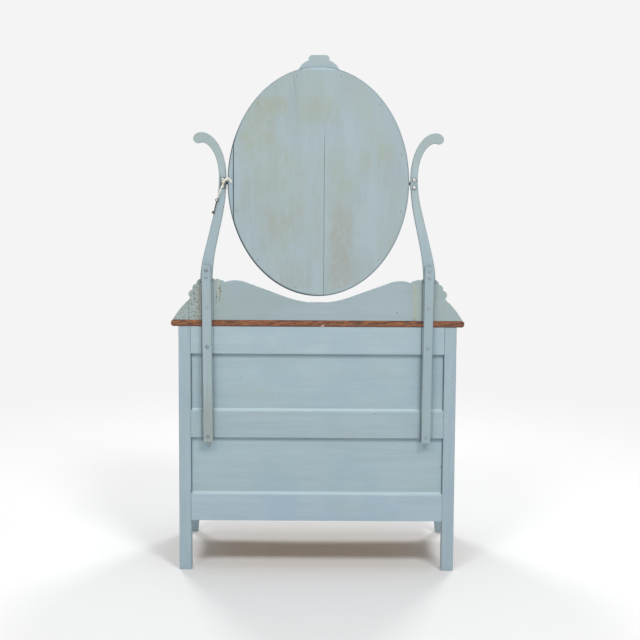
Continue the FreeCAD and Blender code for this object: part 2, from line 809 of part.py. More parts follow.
def swivel_fittings():
    """An angle bracket with a pin on each arm, and a plate with a coned boss let into the frame."""
    pivot_y = f"({REAR} - pivot_set)"
    leg_x = "(arm_neck_in - bracket_leg)"
    face = block(
        (f"bracket_edge - {leg_x}", "bracket_thick", "bracket_height"),
        (leg_x, REAR, "pivot_height - bracket_height/2"),
    )
    leg = block(
        ("bracket_leg", "pivot_set + plate_width/2 + bracket_thick", "plate_width + 2*leg_margin"),
        (leg_x, f"{pivot_y} - plate_width/2", "pivot_height - plate_width/2 - leg_margin"),
    )
    pin = rod("pin_radius", "pin_reach", ("arm_neck_in - pin_reach", pivot_y, "pivot_height"), DEEP, 90)
    bracket = joined(face, leg, pin)
    part("arm_brackets", grouped([bracket, mirrored(bracket)]))

    plate_x = "(oval_across - plate_thick)"
    plate_at = (plate_x, f"{pivot_y} - plate_width/2", "pivot_height - plate_height/2")
    plate = block(("plate_thick", "plate_width", "plate_height"), plate_at)
    boss = turning(KNOB_SIDES, ("boss_radius", "0"), ("0.6*boss_radius", f"{leg_x} - oval_across - boss_gap"))
    place(boss, "oval_across", pivot_y, "pivot_height", axis=DEEP, angle=90)
    bore = rod("pin_radius + pin_play", "pin_reach", (f"{plate_x} - 1", pivot_y, "pivot_height"), DEEP, 90)
    fitting = cut(joined(plate, boss), bore)
    part("swivel_plates", grouped([fitting, mirrored(fitting)]))
    room_at = ("oval_across - pin_reach - plate_thick", pivot_y, "pivot_height")
    room = rod("pin_radius + pin_room", "pin_reach + 2*plate_thick", room_at, DEEP, 90)
    pocket = block(("2*plate_thick", "plate_width", "plate_height"), plate_at)
    return joined(room, pocket)


def oval(inset, depth):
    """An upright ellipse parallel to the wall, inset from the frame's rim and in front of its back."""
    ring = doc.addObject("Part::Ellipse", "Oval")
    bind(ring, MajorRadius=f"oval_up - ({inset})", MinorRadius=f"oval_across - ({inset})")
    turn = FreeCAD.Rotation(ACROSS, 90).multiply(FreeCAD.Rotation(UP, 90))
    ring.Placement = FreeCAD.Placement(V(0, 0, 0), turn)
    ring.setExpression("Placement.Base.y", linked(f"{BACK_OF_FRAME} - ({depth})"))
    ring.setExpression("Placement.Base.z", linked("oval_centre"))
    return ring


def lofted(*stations):
    """A solid through a row of ovals, each given as its inset and its depth."""
    loft = doc.addObject("Part::Loft", "Moulding")
    loft.Sections = [oval(inset, depth) for inset, depth in stations]
    loft.Solid = True
    loft.Ruled = True
    return loft


def mirror_frame(pocket):
    """Oval frame: a rounded outer edge, a raised bead, a cove down to the sight edge and a rear rabbet."""
    outside = lofted(
        ("0", "0"),
        ("0", "frame_edge"),
        ("edge_round", "frame_thick - edge_drop"),
        ("bead_place", "frame_thick"),
    )
    sight = lofted(
        ("bead_place", "frame_thick"),
        ("frame_width", "frame_thick - cove_depth"),
        ("frame_width", "0"),
    )
    rabbet = lofted(("frame_width - rabbet_width", "0"), ("frame_width - rabbet_width", "rabbet_depth"))
    part("mirror_frame", cut(outside, sight, rabbet, pocket, mirrored(pocket)))


def mirror_parts():
    """Glass in the rabbet, two boards nailed over the back and the crest on top."""
    clear = "(frame_width - rabbet_width + 1)"
    part("mirror_glass", lofted((clear, "rabbet_depth - glass_thick"), (clear, "rabbet_depth")))

    cover = lofted(("board_margin", "0"), ("board_margin", "-back_board"))
    low = "(oval_centre - oval_up)"
    left = block(
        ("oval_across + board_joint", "2*back_board", f"board_top - {low}"),
        ("-oval_across", f"{BACK_OF_FRAME} - back_board/2", low),
    )
    right = block(
        ("board_straight - board_joint", "2*back_board", f"board_top - {low}"),
        ("board_joint", f"{BACK_OF_FRAME} - back_board/2", low),
    )
    for label, limit in (("backboard_left", left), ("backboard_right", right)):
        board = doc.addObject("Part::Common", "Backboard")
        board.Base = cover
        board.Tool = limit
        part(label, board)


def crest():
    """A cap with rounded corners, on shoulders that bow out to the frame's rim."""
    top = number("crest_top")
    cap = number("crest_cap")
    radius = number("crest_round")
    foot = top - number("crest_cap_height")
    nick = (cap - number("crest_nick"), foot)
    bow = (number("crest_bow"), foot - number("crest_bow_drop"))
    shoulder_x = number("crest_shoulder")
    rim_rise = number("oval_up") * math.sqrt(1 - (shoulder_x / number("oval_across")) ** 2)
    shoulder = (shoulder_x, number("oval_centre") + rim_rise - 1)
    corner = (cap - radius, top - radius)
    round_over = [on_circle(corner, radius, math.radians(angle)) for angle in (90, 45, 0)]
    edges = []
    for sign in (1, -1):
        points = [(sign * x, z) for x, z in (*round_over, nick, bow, shoulder)]
        edges += [arc(*points[:3]), line(*points[2:4]), arc(*points[3:])]
    edges.append(line((corner[0], top), (-corner[0], top)))
    edges.append(line(shoulder, (-shoulder_x, shoulder[1])))
    blank = place(outline_body(edges, "crest_thick"), 0, BACK_OF_FRAME, 0)
    rim = lofted(("0", "-crest_thick"), ("0", "2*crest_thick"))
    part("mirror_crest", cut(blank, rim))


def backboard_nails():
    """Wire nails round the edge of the boards, through them and into the frame."""
    across = number("oval_across - nail_inset")
    up = number("oval_up - nail_inset")
    edge = number("board_straight - nail_inset/2")
    face = f"({BACK_OF_FRAME} + back_board)"
    nails = []
    for step in range(NAIL_COUNT):
        angle = 2 * math.pi * (step + 0.5) / NAIL_COUNT
        x = min(edge, across * math.cos(angle))
        nail = grouped([peg(SCREW_SIDES, "nail_radius", "-2*back_board", "nail_proud")])
        place(nail, x, face, f"oval_centre + {up * math.sin(angle)}", axis=ACROSS, angle=-90)
        nails.append(nail)
    part("backboard_nails", grouped(nails))


# ---- tape and key ----


def tape_route():
    """The tape's route from the right-hand bracket down to the key, as offsets from the rear face."""
    rear = number(REAR)
    points = [
        (321, number("bracket_thick"), 1371),
        (321.5, 11.5, 1368.5),
        (325, 14.5, 1358.5),
        (331.5, 13.5, 1346),
        (338, 11, 1331),
        (343.5, 8, 1317),
        (346, 5.5, 1309.5),
    ]
    return [V(x, rear + y, z) for x, y, z in points]


def tape():
    """A narrow cotton tape as a plain tube of straight runs and tangent arcs."""
    route = tape_route()
    edges = []
    start = route[0]
    for before, corner, after in zip(route, route[1:], route[2:]):
        arrive = (corner - before).normalize()
        leave = (after - corner).normalize()
        reach = TAPE_BEND * min(before.distanceToPoint(corner), corner.distanceToPoint(after))
        half_turn = arrive.getAngle(leave) / 2
        bend = reach / math.tan(half_turn)
        first = corner - arrive * reach
        last = corner + leave * reach
        middle = corner + (leave - arrive).normalize() * bend * (1 / math.cos(half_turn) - 1)
        edges.append(Part.LineSegment(start, first).toShape())
        edges.append(Part.Arc(first, middle, last).toShape())
        start = last
    edges.append(Part.LineSegment(start, route[-1]).toShape())
    path = Part.Wire(edges)
    turn = FreeCAD.Rotation(UP, route[1] - route[0])
    steps = [2 * math.pi * step / TAPE_SIDES for step in range(TAPE_SIDES)]
    corners = [on_circle((0, 0), number("tape_width/2"), angle) for angle in (*steps, 0)]
    ring = Part.makePolygon([route[0] + turn.multVec(V(x, y, 0)) for x, y in corners])
    tube = doc.addObject("Part::Feature", "Tape")
    tube.Shape = path.makePipe(Part.Face(ring))
    expected = Part.Face(ring).Area * path.Length
    print(f"tape length {path.Length:.1f}, volume {tube.Shape.Volume:.0f} of {expected:.0f}")
    part("key_tape", tube)


def key():
    """An iron key hanging by its ring from the tape, its bit turned outwards."""
    end = tape_route()[-1]
    rim = peg(KNOB_SIDES, "key_ring + key_wire", "-key_wire", "key_wire")
    eye = peg(KNOB_SIDES, "key_ring - key_wire", "-key_wire", "key_wire")
    ring = place(grouped([cut(rim, eye)]), axis=ACROSS, angle=90)
    shank = peg(KNOB_SIDES, "key_shank", "-key_length", "-key_ring")
    bit_low = "(key_tip - key_length)"
    bit = block(("bit_reach", "bit_thick", "bit_height"), (0, "-bit_thick/2", bit_low))
    notch = block(
        ("bit_reach/3", "bit_thick", "bit_height/5"),
        ("2*bit_reach/3", "-bit_thick/2", f"{bit_low} + 2*bit_height/5"),
    )
    blank = cut(joined(ring, shank, bit), notch)
    aside = number("key_wire")
    drop = number("key_ring + key_wire/2")
    at = (end.x + aside, end.y, end.z - drop)
    part("key", place(blank, *at, axis=DEEP, angle=-number("key_lean")))


def check_document():
    for item in doc.Objects:
        if "Invalid" in item.State or "Error" in item.State:
            raise RuntimeError(f"{item.Name} ({item.Label}) is in state {item.State}")
    for item in parts:
        if item.Shape.isNull() or not item.Shape.isValid() or not item.Shape.Solids:
            raise RuntimeError(f"{item.Label} has no valid solid")


def export_parts():
    os.makedirs("parts", exist_ok=True)
    for item in parts:
        item.Shape.exportStep(f"parts/{item.Label}.step")


fill_sheet()
top_board()
posts()
case_framing()
drawer_rails()
apron()
runners()
drawers()
backsplash()
arms()
battens()
stand_screws()
mirror_frame(swivel_fittings())
mirror_parts()
crest()
backboard_nails()
tape()
key()
doc.recompute()
check_document()
export_parts()
print(f"{len(parts)} sub-parts")
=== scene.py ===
import math
import random

import bpy
from mathutils import Matrix, Vector


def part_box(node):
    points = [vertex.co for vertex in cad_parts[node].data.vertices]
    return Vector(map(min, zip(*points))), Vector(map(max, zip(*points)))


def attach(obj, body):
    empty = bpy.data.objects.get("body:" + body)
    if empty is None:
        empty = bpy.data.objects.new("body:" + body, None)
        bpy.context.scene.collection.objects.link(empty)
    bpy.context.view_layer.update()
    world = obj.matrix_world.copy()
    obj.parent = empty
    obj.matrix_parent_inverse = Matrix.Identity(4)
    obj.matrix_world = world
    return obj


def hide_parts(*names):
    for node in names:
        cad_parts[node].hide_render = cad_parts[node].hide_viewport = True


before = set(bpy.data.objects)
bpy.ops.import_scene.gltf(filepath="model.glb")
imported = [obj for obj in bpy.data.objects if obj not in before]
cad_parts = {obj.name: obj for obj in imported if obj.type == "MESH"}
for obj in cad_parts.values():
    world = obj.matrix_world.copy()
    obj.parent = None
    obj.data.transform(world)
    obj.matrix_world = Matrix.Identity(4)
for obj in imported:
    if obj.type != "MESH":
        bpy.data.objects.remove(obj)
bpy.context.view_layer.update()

# ---- posts ----
# Four square poplar posts hold the case up. The rear pair are straight and the front pair taper at
# the foot. All are brushed with thin grey-blue milk paint that has rubbed through on the arrises.


def shade(red, green, blue):
    """A colour as it looks, in steps of 255, as the light values that a shader takes."""
    light = []
    for step in (red / 255, green / 255, blue / 255):
        light.append(step / 12.92 if step <= 0.04045 else ((step + 0.055) / 1.055) ** 2.4)
    return (*light, 1.0)


def feed(tree, node, values):
    """Set each named socket of a node to a value, or link it to the wire that feeds it."""
    for key, value in values.items():
        if isinstance(value, Wire):
            tree.links.new(value.socket, node.inputs[key])
        else:
            node.inputs[key].default_value = value


class Wire:
    """A value, colour or vector on its way between the nodes of a material."""

    def __init__(self, tree, socket):
        self.tree = tree
        self.socket = socket

    def node(self, kind, settings=None, inputs=None, output=0):
        """Add a node: first its settings, then what its sockets are set to or fed by."""
        made = self.tree.nodes.new(kind)
        for key, setting in (settings or {}).items():
            setattr(made, key, setting)
        feed(self.tree, made, inputs or {})
        return Wire(self.tree, made.outputs[output])

    def maths(self, operation, first, second):
        return self.node("ShaderNodeMath", {"operation": operation}, {0: first, 1: second})

    def __add__(self, other):
        return self.maths("ADD", self, other)

    def __mul__(self, other):
        return self.maths("MULTIPLY", self, other)

    def __sub__(self, other):
        return self.maths("SUBTRACT", self, other)

    def __rsub__(self, other):
        return self.maths("SUBTRACT", other, self)

    __radd__ = __add__
    __rmul__ = __mul__


def new_material(name):
    """A fresh material and the wire that carries the place of each point on the piece."""
    material = bpy.data.materials.new(name)
    material.use_nodes = True
    tree = material.node_tree
    return material, Wire(tree, tree.nodes.new("ShaderNodeTexCoord").outputs["Object"])


def noise(place, scale, detail=4, roughness=0.55):
    """Soft noise; three scales draw it out across, deep and up."""
    if isinstance(scale, tuple):
        factors = {0: place, 1: scale}
        place = place.node("ShaderNodeVectorMath", {"operation": "MULTIPLY"}, factors)
        scale = 1.0
    kind = {"Vector": place, "Scale": scale, "Detail": detail, "Roughness": roughness}
    return place.node("ShaderNodeTexNoise", {}, kind)


def grained(place, grain, along, beside, detail, roughness=0.55):
    """Noise drawn out along one axis, as a brush or the grain of wood draws it."""
    scale = tuple(along if axis == grain else beside for axis in "XYZ")
    return noise(place, scale, detail, roughness)


def fade(wire, low, high, end=1.0):
    """0 below low, up to end above high, with a soft rise between them."""
    limits = {"Value": wire, "From Min": low, "From Max": high, "To Max": end}
    return wire.node("ShaderNodeMapRange", {"interpolation_type": "SMOOTHSTEP"}, limits)


def mixed(share, first, second):
    """One tone with a share of another laid over it; each is a wire or three steps of 255."""
    first, second = (tone if isinstance(tone, Wire) else shade(*tone) for tone in (first, second))
    tones = {0: share, 6: first, 7: second}
    return share.node("ShaderNodeMix", {"data_type": "RGBA"}, tones, output=2)


def finished(place, colour, roughness, relief=None, height=0.0002, **others):
    """Feed a material's shader; relief is what stands up or is cut in, as a bump of that height."""
    feeds = {"Base Color": colour, "Roughness": roughness}
    if relief is not None:
        bump = {"Height": relief, "Distance": height, "Strength": 1.0}
        feeds["Normal"] = place.node("ShaderNodeBump", {}, bump)
    feeds.update({key.replace("_", " "): value for key, value in others.items()})
    feed(place.tree, place.tree.nodes["Principled BSDF"], feeds)


def apart(place):
    """The three coordinates of a place: across, deep and up."""
    return [place.node("ShaderNodeSeparateXYZ", {}, {0: place}, output=axis) for axis in range(3)]


def arrises(place):
    """1 on the bevelled edges of an eased piece and 0 on its faces."""
    return place.node("ShaderNodeAttribute", {"attribute_name": "edge"}, output="Fac")


def either(first, second):
    return first.maths("MAXIMUM", first, second)


def size_of(wire):
    return wire.node("ShaderNodeMath", {"operation": "ABSOLUTE"}, {0: wire})


def spot(across, up, x, z, radius, soft):
    """1 within a radius of a point on an upright face, fading to 0 over a soft rim."""
    where = across.node("ShaderNodeCombineXYZ", {}, {"X": across, "Z": up})
    ends = {0: where, 1: (x, 0, z)}
    away = where.node("ShaderNodeVectorMath", {"operation": "DISTANCE"}, ends, output="Value")
    return fade(away, radius + soft, radius)


def pin_pricks(place, per_metre, radius, kept):
    """Small dark dents and old nail holes on upright faces, kept in only a share of the cells."""
    across, deep, up = apart(place)
    flat = place.node("ShaderNodeCombineXYZ", {}, {"X": across + deep, "Y": up})
    plane, cells = {"voronoi_dimensions": "2D"}, {"Vector": flat, "Scale": per_metre}
    distance = place.node("ShaderNodeTexVoronoi", plane, cells, output="Distance")
    chance = place.node("ShaderNodeTexVoronoi", plane, cells, output="Color")
    chance = place.node("ShaderNodeSeparateColor", {}, {0: chance})
    near = fade(distance, radius * per_metre * 1.3, radius * per_metre * 0.6)
    return near * fade(chance, 1 - kept, 1.001 - kept)


BARE_WOOD = (150, 134, 112)
OLD_DIRT = (128, 138, 138)


def milk_paint(name, grain, tint, stains=0.35, wear=1.0, prick_share=0.1, layers=()):
    """Thin matt paint brushed along the grain, chipped; a layer is where it lies and its tone."""
    material, place = new_material(name)
    edge = arrises(place)
    hairs = grained(place, grain, 9, 320, 4)
    strokes = grained(place, grain, 2, 38, 4)
    cloud = noise(place, 5.5)
    patches = grained(place, grain, 4, 12, 5, 0.6)
    chips = noise(place, 130, detail=3, roughness=0.6)
    red, green, blue = tint
    light = (red + 3, green + 3, blue + 3)
    dark = (red - 6, green - 6, blue - 6)
    clouded = (red - 9, green - 7, blue - 3)
    stained = (red - 3, green - 6, blue - 16)
    colour = mixed(fade(strokes * 0.5 + hairs * 0.5, 0.36, 0.62), dark, light)
    colour = mixed(fade(cloud, 0.46, 0.62, 0.5), colour, clouded)
    colour = mixed(fade(patches, 0.52, 0.68, stains), colour, stained)
    rubbed = fade(chips + edge * (0.09 * wear), 0.71, 0.74)
    colour = mixed(edge * 0.3, colour, OLD_DIRT)
    colour = mixed(rubbed, colour, BARE_WOOD)
    pricks = pin_pricks(place, 14, 0.0011, prick_share)
    colour = mixed(pricks * 0.8, colour, (104, 112, 112))
    relief = hairs * 0.35 + strokes * 0.3 - rubbed * 0.6 - pricks
    for where, tone in layers:
        colour = mixed(where(*apart(place)), colour, tone)
    finished(place, colour, fade(strokes, 0.3, 0.7, 0.12) + 0.62, relief, 0.00025)
    return material


def placed(name, data):
    """A new object of the scene that holds a mesh, a curve, a camera or a lamp."""
    piece = bpy.data.objects.new(name, data)
    bpy.context.scene.collection.objects.link(piece)
    return piece


def deselect():
    bpy.ops.object.select_all(action="DESELECT")


def edit(piece):
    """Open one piece in edit mode with all of it selected."""
    deselect()
    bpy.context.view_layer.objects.active = piece
    piece.select_set(True)
    bpy.ops.object.mode_set(mode="EDIT")
    bpy.ops.mesh.select_all(action="SELECT")


def close_edit(turn_out=False):
    """Leave edit mode, with every face turned outwards first where that is asked."""
    if turn_out:
        bpy.ops.mesh.select_all(action="SELECT")
        bpy.ops.mesh.normals_make_consistent(inside=False)
    bpy.ops.object.mode_set(mode="OBJECT")


def smooth_below(degrees):
    bpy.ops.object.shade_smooth_by_angle(angle=math.radians(degrees))


def apply_modifier(piece, name, kind, **settings):
    made = piece.modifiers.new(name, kind)
    for key, setting in settings.items():
        setattr(made, key, setting)
    bpy.context.view_layer.objects.active = piece
    bpy.ops.object.modifier_apply(modifier=name)


def chamfer(piece, radius, chosen):
    """Plane a bevel along the arrises whose two ends pass a test, before the rest are eased."""
    edit(piece)
    bpy.ops.mesh.select_mode(type="EDGE")
    bpy.ops.mesh.select_all(action="DESELECT")
    close_edit()
    for edge in piece.data.edges:
        edge.select = all(chosen(piece.data.vertices[end].co) for end in edge.vertices)
    bpy.ops.object.mode_set(mode="EDIT")
    bpy.ops.mesh.bevel(offset=radius, segments=1)
    close_edit()


WELD = 0.00001
FLAT = math.radians(0.4)


def eased(node, radius=0.0013, smooth=32, planed=None):
    """A merged copy of a CAD piece, its arrises eased; planed is a wider bevel and its place."""
    piece = placed(f"{node}_made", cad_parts[node].data.copy())
    piece.data.materials.clear()
    piece.data.materials.append(None)
    piece.data.materials.append(None)
    edit(piece)
    bpy.ops.mesh.remove_doubles(threshold=WELD)
    bpy.ops.mesh.dissolve_limited(angle_limit=FLAT)
    close_edit()
    if planed:
        chamfer(piece, *planed)
    limit = {"limit_method": "ANGLE", "angle_limit": math.radians(smooth)}
    apply_modifier(piece, "easing", "BEVEL", width=radius, segments=2, material=1, **limit)
    smooth_below(smooth)
    apply_modifier(piece, "facing", "WEIGHTED_NORMAL", weight=100, keep_sharp=True)
    faces = piece.data.polygons
    edges = piece.data.attributes.new("edge", "FLOAT", "FACE")
    edges.data.foreach_set("value", [float(face.material_index) for face in faces])
    faces.foreach_set("material_index", [0] * len(faces))
    piece.data.materials.pop()
    return piece


def fit(piece, material, slot, body, *nodes):
    """Give a finished piece its material and body, and let it stand for CAD nodes; slot is not
    used.
    """
    piece.data.materials.clear()
    piece.data.materials.append(material)
    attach(piece, body)
    if nodes:
        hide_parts(*nodes)


def fit_eased(node, material, slot="blue_paint", body="case", **easing):
    """Ease a CAD piece, finish it and let it stand for its own node."""
    fit(eased(node, **easing), material, slot, body, node)


upright_paint = milk_paint("upright_paint", "Z", (160, 179, 189))
for post in ("rear_post_left", "rear_post_right", "front_post_left", "front_post_right"):
    fit_eased(post, upright_paint, radius=0.0018)

# ---- rails and panels ----
# Each side and the back are a frame of three rails tenoned into the posts, with two thin panels
# loose in grooves. The rear panels are thinner painted, and the coat is streaked along their grain.

# A dark tone for real dirt and holes and for painted shade, and a pale tone for painted highlights.
DIRT_AND_SHADE = (84, 98, 104)
PAINTED_HIGHLIGHT = (200, 218, 223)
RAIL_TINT = (168, 187, 195)
PANEL_TINT = (164, 184, 192)
batten_low, batten_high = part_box("batten_right")
post_face = 0.440


def shadow_beside_battens(across, deep, up):
    """Painted shadow along both sides of each batten, darker on the side away from the stronger
    lamp.
    """
    band = 0
    for side, outward, share in (
        (batten_high.x, 1, 0.65),
        (batten_low.x, -1, 0.35),
        (-batten_low.x, 1, 0.65),
        (-batten_high.x, -1, 0.2),
    ):
        away = (across - side) * outward
        band = fade(away, 0.0038, 0.0024, share) * fade(away, -0.0004, 0.0) + band
    return band * fade(up, batten_low.z - 0.0012, batten_low.z)


def old_nail(across, deep, up):
    return spot(across, up, -0.2021, 0.5623, 0.0014, 0.0010) * 0.8


# The top rail carries painted shadow beside the battens.
layers = ((shadow_beside_battens, DIRT_AND_SHADE),)
top_rail_paint = milk_paint("top_rail_paint", "X", RAIL_TINT, layers=layers)
fit_eased("back_rail_top", top_rail_paint)
planed_width = 0.0048
on_face = 0.0001
for rail, tint in (("back_rail_middle", (162, 181, 188)), ("back_rail_bottom", (166, 186, 197))):
    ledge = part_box(rail)[1]

    def upper_arris(corner, ledge=ledge):
        return corner.z > ledge.z - on_face and corner.y > ledge.y - on_face

    def lit_arris(across, deep, up, ledge=ledge):
        """The planed arris, with a painted highlight where it faces up to the light."""
        return fade(up, ledge.z - 0.0030, ledge.z - 0.0010, 0.5)

    # The rails carry a painted highlight on the planed arris, painted shadow beside the battens and
    # a real nail hole.
    layers = ((lit_arris, PAINTED_HIGHLIGHT), (shadow_beside_battens, DIRT_AND_SHADE), (old_nail, DIRT_AND_SHADE))
    rail_paint = milk_paint(f"{rail}_paint", "X", tint, layers=layers)
    planed = (planed_width, upper_arris)
    fit_eased(rail, rail_paint, radius=0.0005, planed=planed)
for panel, upper_rail, lower_rail in (
    ("back_panel_upper", "back_rail_top", "back_rail_middle"),
    ("back_panel_lower", "back_rail_middle", "back_rail_bottom"),
):
    rail_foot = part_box(upper_rail)[0].z
    rail_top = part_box(lower_rail)[1].z

    def groove_shade_and_holes(across, deep, up, rail_foot=rail_foot):
        """Painted shade under the upper rail and beside the posts, where the panel goes into its
        grooves; two holes and a dent.
        """
        under = fade(up, rail_foot - 0.0058, rail_foot - 0.0036, 0.2)
        below = fade(up, rail_foot - 0.0180, rail_foot - 0.0150, 0.2)
        beside = fade(size_of(across), post_face - 0.0040, post_face - 0.0022, 0.8)
        upper_hole = spot(across, up, -0.4380, 0.3740, 0.0024, 0.0010)
        lower_hole = spot(across, up, -0.4380, 0.3690, 0.0024, 0.0010)
        dent = spot(across, up, 0.2663, 0.6861, 0.0012, 0.0010) * 0.6
        return either(either(under, below), either(beside, upper_hole + lower_hole + dent))

    def highlight_over_rail(across, deep, up, rail_top=rail_top):
        """A painted highlight on the panel just over the lower rail, along the line of its top
        edge.
        """
        return fade(up, rail_top + 0.0068, rail_top + 0.0056)

    # The panels carry a painted highlight over the lower rail, painted shade in the grooves and
    # beside the battens, and real holes and a dent.
    layers = ((highlight_over_rail, PAINTED_HIGHLIGHT), (groove_shade_and_holes, DIRT_AND_SHADE), (shadow_beside_battens, DIRT_AND_SHADE))
    panel_paint = milk_paint(f"{panel}_paint", "X", PANEL_TINT, stains=0.45, layers=layers)
    fit_eased(panel, panel_paint, "blue_stain", "case")
deep_paint = milk_paint("deep_paint", "Y", RAIL_TINT)
side_panel_paint = milk_paint("side_panel_paint", "Z", PANEL_TINT, stains=0.4)
fit_eased("side_rails", deep_paint)
fit_eased("side_panels", side_panel_paint)

# ---- drawer rails, apron and runners ----
# Three rails and a divider frame the drawer openings, over an apron with a shallow arch. Bare
# poplar runners and guides are glued between the posts inside the case.

across_paint = milk_paint("across_paint", "X", RAIL_TINT)
fit_eased("front_rails", across_paint)
fit_eased("front_apron", across_paint)
fit_eased("drawer_divider", upright_paint)


def bare_wood(name, grain):
    """Unfinished poplar gone tan with age: pale and brown streaks, fine pores, grime."""
    material, place = new_material(name)
    streaks = grained(place, grain, 3, 70, 5)
    pores = grained(place, grain, 25, 900, 2)
    grime = noise(place, 6)
    colour = mixed(fade(streaks, 0.35, 0.65), (158, 124, 84), (203, 172, 128))
    colour = mixed(fade(grime, 0.5, 0.8, 0.5), colour, (128, 104, 78))
    colour = mixed(fade(pores, 0.6, 0.7, 0.5), colour, (112, 84, 56))
    relief = streaks * 0.5 - fade(pores, 0.58, 0.68)
    finished(place, colour, fade(streaks, 0.3, 0.7, 0.15) + 0.66, relief, 0.0003)
    return material


def dress(material, *nodes):
    """Put a finish on CAD pieces that keep their own shape."""
    for node in nodes:
        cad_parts[node].material_slots[0].material = material


deep_wood = bare_wood("deep_wood", "Y")
across_wood = bare_wood("across_wood", "X")
dress(deep_wood, "drawer_runners")

# ---- top ----
# One wide board of oak, its front and ends rounded over and flush with the case at the back. The
# red-brown varnish has worn thin along the edge and gone dull on the flat.

top_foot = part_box("top_board")[0].z
top_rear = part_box("top_board")[1].y


def at_rear(deep, face, full=0.002, start=0.006):
    """1 on the rear face of a piece and 0 from a little further forward."""
    return fade(deep, face - start, face - full)


def oak(name):
    """Varnished oak, its grain along X and slanting on the rear edge, with open pores and wear."""
    material, place = new_material(name)
    across, deep, up = apart(place)
    rear = at_rear(deep, top_rear)
    drift = noise(place, (1.6, 5, 5), detail=2)
    slant = up + (across * 0.08 + drift * 0.04) * rear
    along = across * (rear * 0.62 + 0.38)
    grain = place.node("ShaderNodeCombineXYZ", {}, {"X": along, "Y": deep, "Z": slant})
    rings = noise(grain, (9, 60, 210), roughness=0.65)
    flecks = noise(grain, (36, 300, 420), detail=3, roughness=0.6)
    pores = noise(grain, (45, 950, 950), detail=3)
    worn = noise(place, (7, 30, 60))
    colour = mixed(fade(rings, 0.42, 0.56), (72, 35, 16), (128, 70, 34))
    colour = mixed(fade(flecks, 0.5, 0.60, 0.75), colour, (172, 108, 58))
    colour = mixed(fade(worn, 0.55, 0.7, 0.5), colour, (156, 100, 60))
    colour = mixed(fade(pores, 0.54, 0.64, 0.8), colour, (58, 30, 18))
    # A painted shadow darkens the lowest few millimetres of the board's edges.
    shaded_foot = fade(up + flecks * 0.004, top_foot + 0.0075, top_foot + 0.0050)
    shaded_foot = shaded_foot * fade(up, top_foot - 0.001, top_foot - 0.0005)
    colour = mixed(shaded_foot * 0.85, colour, (82, 50, 34))
    chip = spot(across, up, -0.0200, 0.8710, 0.0024, 0.0012)
    chip = either(chip, spot(across, up, -0.0150, 0.8698, 0.0024, 0.0012))
    chip = chip * at_rear(deep, top_rear, 0.008, 0.012)
    colour = mixed(chip * 0.8, colour, (206, 178, 150))
    roughness = fade(noise(place, 14), 0.35, 0.7, 0.2) + 0.3
    relief = rings * 0.3 - fade(pores, 0.56, 0.66) * 0.8
    finished(place, colour, roughness, relief, 0.00025, Coat_Weight=0.3, Coat_Roughness=0.22)
    return material


fit_eased("top_board", oak("varnished_oak"), "oak_top", "case", radius=0.0008)

# ---- shaped backboard ----
# A board sawn to two humps with a dip between them stands on the rear of the top. Its ends are
# carved as leaves; seen from behind they are rough, chipped and stained where the arms stand.

backboard_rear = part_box("backsplash")[1].y


def streak(across, up, x, half_width, low, high, ragged):
    """A run of varnish or a check down the board at x, from high to low, with a broken outline."""
    near = fade(size_of(across - x + ragged * 0.004 - 0.002), half_width, half_width * 0.4)
    return near * fade(up, low, low + 0.01) * fade(up, high, high - 0.01)


